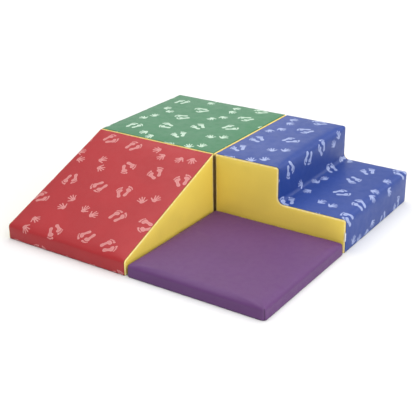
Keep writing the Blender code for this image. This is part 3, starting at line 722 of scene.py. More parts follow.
RED = Vinyl("red_printed_vinyl", "red_vinyl", (0.38, 0.013, 0.018), 0.44, (0.64, 0.27, 0.26))
GREEN = Vinyl("green_printed_vinyl", "green_vinyl", (0.029, 0.170, 0.068), 0.44, (0.60, 0.76, 0.62))
BLUE = Vinyl("blue_printed_vinyl", "blue_vinyl", (0.011, 0.045, 0.250), 0.44, (0.38, 0.45, 0.71))
# The yellow's rolled edges carry a strong painted highlight, a pale cream line, and lighter painted shade
# in their creases.
YELLOW = Vinyl("yellow_plain_vinyl", "yellow_vinyl", (0.90, 0.69, 0.115), 0.48, crease=0.50, rub=0.8,
               rub_and_highlight_paling=0.48)
PURPLE = Vinyl("purple_plain_vinyl", "purple_vinyl", (0.108, 0.032, 0.144), 0.50)
BASE = NonSlip("non_slip_base_cloth", "base_vinyl", (0.09, 0.09, 0.095), 0.85)
FOAM = FoamCells("open_cell_foam", "foam", (0.80, 0.77, 0.62), 0.95)
YELLOW_TAPE = WovenTape("yellow_zip_tape", "zip_cloth", (0.62, 0.44, 0.07), 0.75)
PURPLE_TAPE = WovenTape("purple_zip_tape", "zip_cloth", (0.10, 0.04, 0.12), 0.75)
WHITE_TAB = WovenTape("white_woven_tab", "tab_cloth", (0.88, 0.87, 0.84), 0.7, threads=1100.0)
YELLOW_TEETH = Moulded("yellow_zip_teeth", "zip_cloth", (0.70, 0.50, 0.07), 0.38)
PURPLE_TEETH = Moulded("purple_zip_teeth", "zip_cloth", (0.11, 0.045, 0.13), 0.38)
YELLOW_THREAD = Moulded("yellow_thread", "zip_cloth", (0.80, 0.60, 0.12), 0.6)
PURPLE_THREAD = Moulded("purple_thread", "zip_cloth", (0.17, 0.07, 0.19), 0.6)
BLACK_THREAD = Moulded("black_thread", "zip_cloth", (0.02, 0.02, 0.021), 0.6)
NICKEL = Moulded("nickel_slider", "zip_metal", (0.62, 0.61, 0.58), 0.32, metallic=1.0)
HOOKS = NapTape("hook_tape", "hook_cloth", (0.022, 0.022, 0.024), 0.5, order=1.0)
LOOPS = NapTape("loop_tape", "loop_cloth", (0.028, 0.028, 0.031), 0.9)
FLOOR = FloorPaper("studio_floor", "", (0.80, 0.80, 0.80), 0.8)


def new_object(name: str, data: bpy.types.ID) -> Object:
    """Makes an object at the origin.

    Args:
        name: Its name.
        data: Its mesh, light or camera.

    Returns:
        The object, in the scene.
    """
    made = bpy.data.objects.new(name, data)
    bpy.context.scene.collection.objects.link(made)
    return made


def add_piece(name: str, bm: BMesh, matrix: Matrix, finishes: Sequence[Finish], sharp: float,
              body: str = "", node: str = "") -> Object:
    """Makes a piece from a bmesh, which is used up.

    Args:
        name: The piece's name.
        bm: The bmesh.
        matrix: Where it goes.
        finishes: Its finishes, by material index.
        sharp: The angle over which an edge stays sharp, in degrees.
        body: The body that it rides on, unless it belongs to the studio.
        node: The CAD node that it stands for, if there is one.

    Returns:
        The piece.
    """
    bm.transform(matrix)
    mesh = bpy.data.meshes.new(name)
    bm.to_mesh(mesh)
    bm.free()
    for finish in finishes:
        mesh.materials.append(finish.material())
    mesh.shade_smooth()
    mesh.set_sharp_from_angle(angle=radians(sharp))
    piece = new_object(name, mesh)
    if node:
        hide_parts(node)
    if body:
        finishes[0].slot
        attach(piece, body)
    LOG.info("%s: %d faces", name, len(mesh.polygons))
    return piece


def thicken(piece: Object, thickness: float, offset: float) -> None:
    """Gives a piece of cloth its thickness.

    Args:
        piece: The piece.
        thickness: The thickness.
        offset: -1 where it is all behind the surface, and 0 where half of it is.
    """
    cloth = piece.modifiers.new("cloth", "SOLIDIFY")
    cloth.thickness = thickness
    cloth.offset = offset


def unwrap(bm: BMesh, place_of: Callable[[BMVert], Sequence[float]]) -> None:
    """Notes each vertex's place on the cloth, which a weave or a print follows.

    Args:
        bm: The bmesh.
        place_of: Gives the place of a vertex.
    """
    uv = bm.loops.layers.uv.new("cloth")
    for face in bm.faces:
        for loop in face.loops:
            loop[uv].uv = place_of(loop.vert)


def verts_of(geom: Iterable[Any]) -> list[BMVert]:
    """Returns the vertices among a list of geometry."""
    return [item for item in geom if isinstance(item, BMVert)]


def along_side(outward: Vector) -> Vector:
    """Returns the level way along a side of a module, given where the side looks."""
    return RIGHT if abs(outward.y) > 0.5 else FAR


def rectangle(across: float, along: float) -> list[tuple[float, float]]:
    """Returns the corners of a rectangle of two half sizes, with the first once more at the end."""
    return [(x * across, y * along) for x, y in ((-1, -1), (1, -1), (1, 1), (-1, 1), (-1, -1))]


def cut(bm: BMesh, axis: Vector, places: Iterable[float],
        chosen: Callable[[BMFace], bool] = lambda face: True) -> None:
    """Cuts the chosen faces across an axis at each place, and leaves them joined.

    Here and below, the keys of a dict hold edges and vertices once each, in an order that is the same
    in every run, which a set's is not.

    Args:
        bm: The bmesh.
        axis: The axis.
        places: Where along it.
        chosen: Tells whether a face is cut.
    """
    for place in places:
        bm.normal_update()
        faces = [face for face in bm.faces if chosen(face)]
        edges = dict.fromkeys(edge for face in faces for edge in face.edges)
        verts = dict.fromkeys(vert for face in faces for vert in face.verts)
        bmesh.ops.bisect_plane(bm, geom=[*faces, *edges, *verts], dist=TINY, plane_co=axis * place,
                               plane_no=axis)


def bevel(bm: BMesh, edges: Iterable[BMEdge], offset: float, segments: int) -> None:
    """Rounds edges.

    Args:
        bm: The bmesh.
        edges: The edges.
        offset: Distance from each edge to where its round starts.
        segments: Parts of the round.
    """
    bmesh.ops.bevel(bm, geom=list(edges), offset=offset, offset_type="OFFSET", segments=segments,
                    profile=0.5, affect="EDGES", material=-1)


def roll_foot(bm: BMesh) -> None:
    """Rounds the edges where a cover meets the floor, which its weight presses nearly sharp."""
    bevel(bm, [edge for edge in bm.edges if edge.calc_face_angle(0) > pi / 4
               and max(vert.co.z for vert in edge.verts) < TINY], FOOT_ROLL, 2)


def add_block(bm: BMesh, low: Sequence[float], high: Sequence[float], edge: float = 0.0,
              segments: int = 1) -> list[BMVert]:
    """Adds a block with its edges taken off.

    Args:
        bm: The bmesh.
        low: Its lowest corner.
        high: Its highest corner.
        edge: How far each edge is taken off.
        segments: Parts of each rounded edge.

    Returns:
        Its vertices.
    """
    size = Vector(high) - Vector(low)
    known = set(bm.verts)
    made = bmesh.ops.create_cube(bm, size=1)["verts"]
    bmesh.ops.scale(bm, vec=size, verts=made)
    bmesh.ops.translate(bm, vec=Vector(low) + size / 2, verts=made)
    if edge:
        bevel(bm, dict.fromkeys(line for vert in made for line in vert.link_edges), edge, segments)
    return [vert for vert in bm.verts if vert not in known]


def add_row(bm: BMesh, unit: BMesh, first: Matrix, step: Vector, count: int, index: int = 0) -> None:
    """Adds a row of copies of a small part.

    Args:
        bm: The bmesh to add to.
        unit: The small part, which is used up.
        first: Where the first copy goes.
        step: The way from each copy to the next.
        count: How many copies.
        index: Their material index.
    """
    for face in unit.faces:
        face.material_index = index
    unit.transform(first)
    mesh = bpy.data.meshes.new("unit")
    unit.to_mesh(mesh)
    unit.free()
    for _ in range(count):
        bm.from_mesh(mesh)
        mesh.transform(Matrix.Translation(step))
    bpy.data.meshes.remove(mesh)


def add_stitches(bm: BMesh, path: Sequence[Vector], outward: Vector, pitch: float = STITCH_PITCH,
                 index: int = 0) -> None:
    """Adds a row of stitches along a path.

    Args:
        bm: The bmesh.
        path: The path's corners.
        outward: Where the cloth looks.
        pitch: Length of a stitch with its gap.
        index: Material index.
    """
    size = Matrix.Diagonal((pitch * 0.40, 0.00034, 0.00028, 1))
    for start, end in zip(path, path[1:]):
        along = (end - start).normalized()
        count = max(1, round((end - start).length / pitch))
        step = (end - start) / count
        turn = Matrix((along, outward.cross(along), outward)).transposed().to_4x4()
        stitch = bmesh.new()
        bmesh.ops.create_icosphere(stitch, subdivisions=1, radius=1)
        add_row(bm, stitch, Matrix.Translation(start + step / 2) @ turn @ size, step, count, index)


def spread(low: float, high: float, edges: Sequence[float]) -> list[float]:
    """Returns even places between two ends, with more near the ends.

    Args:
        low: The first end.
        high: The last end.
        edges: Distances from each end of the places near it.

    Returns:
        The places, without the ends.
    """
    start, end = low + edges[-1], high - edges[-1]
    count = max(1, round((end - start) / CUT_PITCH))
    even = [start + (end - start) * step / count for step in range(count + 1)]
    return sorted(even + [place for edge in edges[:-1] for place in (low + edge, high - edge)])


@dataclass(frozen=True)
class Panel:
    """One sewn panel of a cover: its CAD node, where it looks, its finish, how far its middle stands
    proud, and how high that starts. A plain panel turns over the edge to meet a printed one, so that
    it shows as a thin border."""

    node: str
    normals: tuple[Vector, ...]
    finish: Finish
    swell: float = 0.0
    rises_from: float = 0.0
    rise: float = 0.04
    border: float = 0.35

    def fits(self, normal: Vector) -> float:
        """Returns how nearly a normal is one of this panel's."""
        border = self.border if self.finish is YELLOW else 0.0
        return max(normal.dot(own) for own in self.normals) + border

    def reach(self, place: Vector) -> float:
        """Returns how far a point of this panel may swell, which is nothing beside a neighbour."""
        risen = (place.z - self.rises_from) / self.rise
        return self.swell * (max(0.0, min(1.0, risen)) if self.rises_from else 1.0)


@dataclass
class SewnForm:
    """A padded module in a sewn cover, which bears its body's name."""

    name: str
    place: tuple[float, float]
    turn: float
    zip_outward: Vector
    panels: tuple[Panel, ...]
    zip_height: float = 0.036
    groove: float = 0.0013
    dart_depth: float = 2.2
    gather: float = 0.03
    fill: float = 0.95
    pucker: float = 0.0005
    slack: float = 0.18
    rest: Object | None = field(default=None, init=False)

    @property
    def matrix(self) -> Matrix:
        """Where the module stands."""
        shift = Vector(self.place) + Vector(CLIMBER_SHIFT)
        return Matrix.Translation(shift.to_3d()) @ Matrix.Rotation(self.turn, 4, "Z")

    def shape(self) -> BMesh:
        """Builds the closed form, with rounded seams and folds."""
        raise NotImplementedError

    def slice(self, bm: BMesh) -> None:
        """Cuts the form into small faces."""
        raise NotImplementedError

    def run(self, place: Vector) -> float:
        """Returns how far along the cloth of the printed panel a point lies."""
        return place.x

    def is_dart(self, place: Vector) -> bool:
        """Returns whether a point lies in a short seam within a panel."""
        return False

    def reach_of(self, panel: Panel, place: Vector) -> float:
        """Returns how far a point of a panel may swell."""
        return panel.reach(place)

    def bridge(self, place: Vector) -> Vector:
        """Returns how the cloth stands off the foam at a point, where it spans an inner corner."""
        return Vector()

    def foam_parts(self, bm: BMesh) -> list[tuple[str, BMesh]]:
        """Returns each piece of foam that the filling is made of, with its name."""
        return [(self.name, bm)]

    def in_slot(self, face: BMFace) -> bool:
        """Tells whether a face lies in the zip's slot.

        Args:
            face: The face.

        Returns:
            Whether it does.
        """
        middle = face.calc_center_median()
        return (face.normal.dot(self.zip_outward) > 0.9
                and abs(middle.dot(along_side(self.zip_outward))) < HALF_ZIP
                and abs(middle.z - self.zip_height) < HALF_SLOT)

    def on_zip_side(self, face: BMFace) -> bool:
        """Returns whether a face lies on the flat side that holds the zip."""
        return face.normal.dot(self.zip_outward) > 0.999

    def lay_out(self) -> None:
        """Makes the object that the cloth simulation blows up, at rest in the module's own frame."""
        bm = self.shape()
        self.slice(bm)
        cut(bm, along_side(self.zip_outward), (-HALF_ZIP, HALF_ZIP), self.on_zip_side)
        cut(bm, UP, (self.zip_height - HALF_SLOT, self.zip_height + HALF_SLOT), self.on_zip_side)
        bm.normal_update()
        panel = bm.faces.layers.int.new("panel")
        run, reach = (bm.verts.layers.float.new(key) for key in ("run", "reach"))
        crease = bm.edges.layers.float.new("crease_edge")
        for face in bm.faces:
            fits = [own.fits(face.normal) for own in self.panels]
            face[panel] = fits.index(max(fits))
        for vert in bm.verts:
            vert[run] = self.run(vert.co)
            vert[reach] = min(self.reach_of(self.panels[face[panel]], vert.co)
                              for face in vert.link_faces)
        for edge in bm.edges:
            parted = len({face[panel] for face in edge.link_faces}) > 1
            if parted or all(self.is_dart(vert.co) for vert in edge.verts):
                edge[crease] = 1.0
                for vert in edge.verts:
                    vert[reach] = 0.0
        for vert in bm.verts:
            vert.co += self.bridge(vert.co)
        mesh = bpy.data.meshes.new(self.name + "_form")
        bm.to_mesh(mesh)
        bm.free()
        self.rest = new_object(self.name + "_form", mesh)
        held = [index for index, item in enumerate(mesh.attributes["reach"].data) if item.value < TINY]
        self.rest.vertex_groups.new(name="pins").add(held, 1.0, "REPLACE")
        LOG.info("%s: form of %d points", self.name, len(mesh.vertices))

    def swollen(self, blown: Sequence[Vector]) -> list[Vector]:
        """Holds each blown-up point within its reach.

        Args:
            blown: Where the simulation took each point.

        Returns:
            Where each point goes.
        """
        mesh = self.rest.data
        result = []
        for vert, place, item in zip(mesh.vertices, blown, mesh.attributes["reach"].data):
            moved, limit = place - vert.co, item.value
            if limit < TINY or moved.length < TINY:
                result.append(vert.co.copy())
            else:
                result.append(vert.co + moved.normalized() * limit * tanh(moved.length / limit))
        return result

    def seam_tree(self) -> KDTree:
        """Sinks the seams of the form.

        Returns:
            Points close together along the seams, to tell how far a place is from them.
        """
        mesh = self.rest.data
        flags = mesh.attributes["crease_edge"].data
        edges = [edge.vertices for edge, flag in zip(mesh.edges, flags) if flag.value]
        normals = [vert.normal.copy() for vert in mesh.vertices]
        for index in {index for edge in edges for index in edge}:
            vert = mesh.vertices[index]
            depth = self.groove * (self.dart_depth if self.is_dart(vert.co) else 1.0)
            vert.co -= normals[index] * depth
        most, pitch = 24, 0.001
        tree = KDTree(most * len(edges))
        for edge in edges:
            start, end = (mesh.vertices[index].co for index in edge)
            steps = min(most - 1, 1 + int((end - start).length / pitch))
            for step in range(steps + 1):
                tree.insert(start.lerp(end, step / steps), 0)
        tree.balance()
        return tree

    def finer(self, places: Sequence[Vector]) -> BMesh:
        """Sinks the seams, subdivides the cover once and gathers the cloth at its seams.

        Args:
            places: Where each vertex of the form goes.

        Returns:
            The finished closed cover.
        """
        mesh = self.rest.data
        for vert, place in zip(mesh.vertices, places):
            vert.co = place
        mesh.update()
        tree = self.seam_tree()
        subdivide = self.rest.modifiers.new("finer", "SUBSURF")
        subdivide.levels = subdivide.render_levels = 1
        graph = bpy.context.evaluated_depsgraph_get()
        fine = bpy.data.meshes.new_from_object(self.rest.evaluated_get(graph))
        bm = bmesh.new()
        bm.from_mesh(fine)
        bpy.data.meshes.remove(fine)
        bm.normal_update()
        near = bm.verts.layers.float.new("seam_distance")
        reach = bm.verts.layers.float["reach"]
        moves = []
        for vert in bm.verts:
            vert[near] = tree.find(vert.co)[2]
            gather = max(0.0, 1 - vert[near] / self.gather) ** 2
            slack = noise.noise(vert.co * 8.0) + 0.5 * noise.noise(vert.co * 24.0 + UP * 5)
            move = self.slack * vert[reach] * slack
            if vert[near] > 0.0005 and gather:
                ripple = noise.noise(vert.co * 55.0) + 0.6 * noise.noise(vert.co * 120.0 + FAR * 3)
                move += self.pucker * gather * ripple
            moves.append((vert, vert.normal * move))
        for vert, move in moves:
            vert.co += move
        bm.normal_update()
        return bm

    def take_apart(self, bm: BMesh) -> None:
        """Makes one piece of each sewn panel, with the cloth's thickness inwards.

        Args:
            bm: The finished closed cover.
        """
        for index, panel in enumerate(self.panels):
            part = bm.copy()
            part.normal_update()
            tag = part.faces.layers.int["panel"]
            others = [face for face in part.faces if face[tag] != index or self.in_slot(face)]
            bmesh.ops.delete(part, geom=others, context="FACES")
            run = part.verts.layers.float["run"]
            unwrap(part, lambda vert: (vert.co.y, vert[run]))
            name = panel.node.removesuffix("_panel").removesuffix("_cover") + "_sewn_cover"
            piece = add_piece(name, part, self.matrix, (panel.finish,), 60, self.name, panel.node)
            thicken(piece, CLOTH_THICKNESS, -1)

    def fill_with_foam(self, bm: BMesh) -> None:
        """Makes the foam that fills the cover.

        Args:
            bm: The finished closed cover, which is used up.
        """
        bm.normal_update()
        moves = [(vert, vert.normal * FOAM_DEPTH) for vert in bm.verts]
        for vert, move in moves:
            vert.co -= move
        for name, part in self.foam_parts(bm):
            piece = add_piece(name + "_foam", part, self.matrix, (FOAM,), 50, self.name,
                              name + "_foam_core")

    def build(self, blown: Sequence[Vector]) -> None:
        """Makes the cover and the foam from the form, which is used up.

        Args:
            blown: Where the simulation took each point of the form.
        """
        cover = self.finer(self.swollen(blown))
        self.take_apart(cover)
        self.fill_with_foam(cover)
        mesh = self.rest.data
        bpy.data.objects.remove(self.rest)
        bpy.data.meshes.remove(mesh)


@dataclass
class ProfiledForm(SewnForm):
    """A module with one profile across its whole width.

    points are the profile's corners from the top of the back round to the foot of the back, folds the
    radius at each folded corner, and seams the corners where two panels meet."""

    points: tuple[tuple[float, float], ...] = ()
    folds: dict[int, float] = field(default_factory=dict)
    seams: tuple[int, ...] = ()
    run_places: tuple[float, ...] = ()
    height_places: tuple[float, ...] = ()

    def corner(self, index: int) -> Vector:
        """Returns one corner of the profile."""
        run, height = self.points[index % len(self.points)]
        return Vector((run, 0, height))

    def turn_at(self, index: int) -> float:
        """Returns the angle that the profile turns through at a corner."""
        here = self.corner(index)
        return (here - self.corner(index - 1)).angle(self.corner(index + 1) - here)

    def trim(self, index: int) -> float:
        """Returns how far from its corner a fold starts."""
        return self.folds[index] * tan(self.turn_at(index) / 2)

    def across_edges(self, bm: BMesh, index: int) -> list[BMEdge]:
        """Finds the edge across the module at a corner.

        Args:
            bm: The form.
            index: The corner's place in points.

        Returns:
            The edge, or its parts.
        """
        here = self.corner(index)
        return [edge for edge in bm.edges
                if all((vert.co - here).xz.length < TINY for vert in edge.verts)]

    def shape(self) -> BMesh:
        """Builds the closed form from its profile.

        Returns:
            The form, with rounded seams and folds.
        """
        bm = bmesh.new()
        foot = [bm.verts.new((run, -HALF_SIDE, height)) for run, height in self.points]
        drawn = bmesh.ops.extrude_face_region(bm, geom=[bm.faces.new(foot)])["geom"]
        bmesh.ops.translate(bm, vec=FAR * 2 * HALF_SIDE, verts=verts_of(drawn))
        bmesh.ops.recalc_face_normals(bm, faces=bm.faces)
        for index in self.folds:
            bevel(bm, self.across_edges(bm, index), self.trim(index), 6)
        width = 2 * HALF_SIDE - TINY
        seams = [edge for edge in bm.edges if abs(sum(vert.co.y for vert in edge.verts)) > width]
        for index in self.seams:
            seams += self.across_edges(bm, index)
        bevel(bm, [edge for edge in seams if max(vert.co.z for vert in edge.verts) > TINY], SEAM_ROLL, 4)
        roll_foot(bm)
        return bm

    def slice(self, bm: BMesh) -> None:
        """Cuts the form across its run, its width and its height.

        Args:
            bm: The form.
        """
        edge = HALF_SIDE - SEAM_ROLL
        cut(bm, FAR, spread(-edge, edge, NEAR_SEAM))
        cut(bm, RIGHT, self.run_places, lambda face: abs(face.normal.x) < 0.9)
        cut(bm, UP, self.height_places, lambda face: abs(face.normal.z) < 0.02)

    def run(self, place: Vector) -> float:
        """Returns how far along the cloth a point lies, from the top of the back and round each fold.

        Args:
            place: The point.

        Returns:
            Its distance along the cloth.
        """
        if not self.folds:
            return super().run(place)
        place = Vector((place.x, 0, place.z))
        start, walked = self.corner(0), 0.0
        for index, radius in self.folds.items():
            corner, trim = self.corner(index), self.trim(index)
            ahead = (corner - self.corner(index - 1)).normalized()
            beyond = (self.corner(index + 1) - corner).normalized()
            straight = (corner - start).length - trim
            if (place - start).dot(ahead) < straight:
                return walked + (place - start).dot(ahead)
            walked += straight
            if (place - corner).dot(beyond) < trim:
                centre = corner + (beyond - ahead).normalized() * (radius / cos(self.turn_at(index) / 2))
                return walked + radius * (corner - ahead * trim - centre).angle(place - centre, 0.0)
            walked += radius * self.turn_at(index)
            start = corner + beyond * trim
        return walked + (place - start).dot(beyond)


@dataclass
class Platform(ProfiledForm):
    """The square block that the ramp and the stairs lead to."""

    def __post_init__(self) -> None:
        """Sets out its profile."""
        edge = HALF_SIDE - SEAM_ROLL
        self.points = ((-HALF_SIDE, BLOCK_HEIGHT), (HALF_SIDE, BLOCK_HEIGHT), (HALF_SIDE, 0),
                       (-HALF_SIDE, 0))
        self.seams = (0, 1, 2, 3)
        self.run_places = tuple(spread(-edge, edge, NEAR_SEAM))
        self.height_places = tuple(spread(SEAM_ROLL, BLOCK_HEIGHT - SEAM_ROLL, NEAR_SEAM))


@dataclass
class Ramp(ProfiledForm):
    """The wedge, whose printed panel runs down the slope and over the lip."""

    fold: float = 0.015
    least_height: float = 0.06
    least_step: float = 0.010
    foot_places: tuple[float, ...] = (0.034, 0.020)

    def __post_init__(self) -> None:
        """Sets out its profile. The heights at which its sides are cut are where the cuts across its
        slope reach the sides' seams."""
        self.points = ((-HALF_SIDE, BLOCK_HEIGHT), (HALF_SIDE, LIP_HEIGHT), (HALF_SIDE, 0),
                       (-HALF_SIDE, 0))
        self.folds = {1: self.fold}
        self.seams = (0, 2, 3)
        fall = (BLOCK_HEIGHT - LIP_HEIGHT) / (2 * HALF_SIDE)
        slope = (self.corner(1) - self.corner(0)).normalized()
        last = HALF_SIDE - self.trim(1) * slope.x
        self.run_places = tuple(spread(SEAM_ROLL - HALF_SIDE, last, NEAR_SEAM))
        kept = []
        for place in self.run_places:
            height = BLOCK_HEIGHT - (place + HALF_SIDE) * fall - SEAM_ROLL / slope.x
            if height > self.least_height and (not kept or kept[-1] - height > self.least_step):
                kept.append(height)
        self.height_places = (*kept, *self.foot_places)


@dataclass
class Stairs(ProfiledForm):
    """The two-step block, whose printed panel runs over both steps and down the front."""

    nosing: float = 0.011
    cove: float = 0.024
    bridge_rise: float = 0.0075
    bridge_reach: float = 0.060
    bridge_ends: float = 0.13

    def __post_init__(self) -> None:
        """Sets out its profile."""
        self.points = ((-HALF_SIDE, BLOCK_HEIGHT), (0, BLOCK_HEIGHT), (0, TREAD_HEIGHT),
                       (HALF_SIDE, TREAD_HEIGHT), (HALF_SIDE, 0), (-HALF_SIDE, 0))
        self.folds = {1: self.nosing, 2: self.cove, 3: self.nosing}
        self.seams = (0, 4, 5)
        front, top = HALF_SIDE - self.nosing, BLOCK_HEIGHT - self.nosing
        tread, riser = TREAD_HEIGHT - self.nosing, TREAD_HEIGHT + self.cove
        self.run_places = (*spread(SEAM_ROLL - HALF_SIDE, -self.nosing, NEAR_SEAM), -self.nosing,
                           self.cove, *spread(self.cove, front, NEAR_SEAM), front)
        self.height_places = (*spread(SEAM_ROLL, tread, NEAR_SEAM[:2]), tread, riser,
                              *spread(riser, top, NEAR_SEAM[:2]), top)

    def bridge(self, place: Vector) -> Vector:
        """Returns how the cloth stands off the foam at a point, where it spans the corner of the steps.

        Args:
            place: The point.

        Returns:
            The way that it moves.
        """
        away = Vector((place.x, 0, place.z - TREAD_HEIGHT))
        if away.x < -TINY or away.z < -TINY:
            return Vector()
        inner = min(1.0, (HALF_SIDE - abs(place.y)) / self.bridge_ends)
        ease = inner * inner * (3 - 2 * inner)
        near = max(0.0, 1 - away.length / self.bridge_reach)
        return Vector((1, 0, 1)) * self.bridge_rise * ease * near ** 2

    def foam_parts(self, bm: BMesh) -> list[tuple[str, BMesh]]:
        """Parts the filling into its two glued slabs, a glue line apart.

        Args:
            bm: The filling, which is used up.

        Returns:
            The name and the shape of each slab.
        """
        parts = []
        half_line = 0.0001
        for name, keeps_top in (("stairs_upper", True), ("stairs_lower", False)):
            part = bm.copy()
            level = TREAD_HEIGHT - FOAM_DEPTH + (half_line if keeps_top else -half_line)
            bmesh.ops.bisect_plane(part, geom=[*part.verts, *part.edges, *part.faces], dist=TINY,
                                   plane_co=UP * level, plane_no=UP, clear_inner=keeps_top,
                                   clear_outer=not keeps_top)
            bmesh.ops.holes_fill(part, edges=[edge for edge in part.edges if edge.is_boundary])
            bmesh.ops.recalc_face_normals(part, faces=part.faces)
            parts.append((name, part))
        bm.free()
        return parts


@dataclass
class Mat(SewnForm):
    """The floor mat, whose cover turns down over its edges, with a short seam at each corner."""

    edge_radius: float = 0.017
    free_swell: float = 0.0022
    dart_width: float = 0.0004
    dart_foot: float = 0.001
    dart_top: float = 0.0035
    skirt_places: tuple[float, ...] = (0.008, 0.0145, 0.0235, 0.031)

    def shape(self) -> BMesh:
        """Builds the closed form.

        Returns:
            The form, with its rounded rim.
        """
        bm = bmesh.new()
        add_block(bm, (-HALF_SIDE, -HALF_SIDE, 0), (HALF_SIDE, HALF_SIDE, MAT_HEIGHT))
        bevel(bm, [edge for edge in bm.edges if max(vert.co.z for vert in edge.verts) > TINY],
              self.edge_radius, 6)
        roll_foot(bm)
        bmesh.ops.recalc_face_normals(bm, faces=bm.faces)
        return bm

    def slice(self, bm: BMesh) -> None:
        """Cuts the form across both ways and round its skirt.

        Args:
            bm: The form.
        """
        edge = HALF_SIDE - self.edge_radius
        for axis in (RIGHT, FAR):
            cut(bm, axis, spread(-edge, edge, (0.008, 0.018)))
        cut(bm, UP, self.skirt_places, lambda face: abs(face.normal.z) < 0.02)

    def reach_of(self, panel: Panel, place: Vector) -> float:
        """Returns how far a point of a panel may swell, which on the two free skirts is a little."""
        free = max(place.x, -place.y) > HALF_SIDE - 0.004 and place.z > 0.004
        return max(self.free_swell if free and panel.swell else 0.0, panel.reach(place))

    def is_dart(self, place: Vector) -> bool:
        """Tells whether a point lies in one of the corner seams of the skirt.

        Args:
            place: The point.

        Returns:
            Whether it does.
        """
        on_rim = abs(place.x) > HALF_SIDE - self.edge_radius
        on_corner = on_rim and abs(abs(place.x) - abs(place.y)) < self.dart_width
        return on_corner and self.dart_foot < place.z < MAT_HEIGHT - self.dart_top


def blow_up(forms: Sequence[SewnForm], frames: int = 20) -> list[list[Vector]]:
    """Blows the covers up a little, as the foam inside does.

    Args:
        forms: The covers, laid out.
        frames: How many steps the simulation takes.

    Returns:
        Where each point of each cover goes.
    """
    for form in forms:
        cloth = form.rest.modifiers.new("blown", "CLOTH")
        for key, value in CLOTH_SETTINGS.items():
            setattr(cloth.settings, key, value)
        cloth.settings.effector_weights.gravity = 0
        cloth.collision_settings.use_collision = False
        cloth.point_cache.frame_start = 1
        cloth.point_cache.frame_end = frames
    for step in range(1, frames + 1):
        bpy.context.scene.frame_set(step)
    graph = bpy.context.evaluated_depsgraph_get()
    places = []
    for form in forms:
        places.append([vert.co.copy() for vert in form.rest.evaluated_get(graph).data.vertices])
        form.rest.modifiers.clear()
    bpy.context.scene.frame_set(1)
    return places


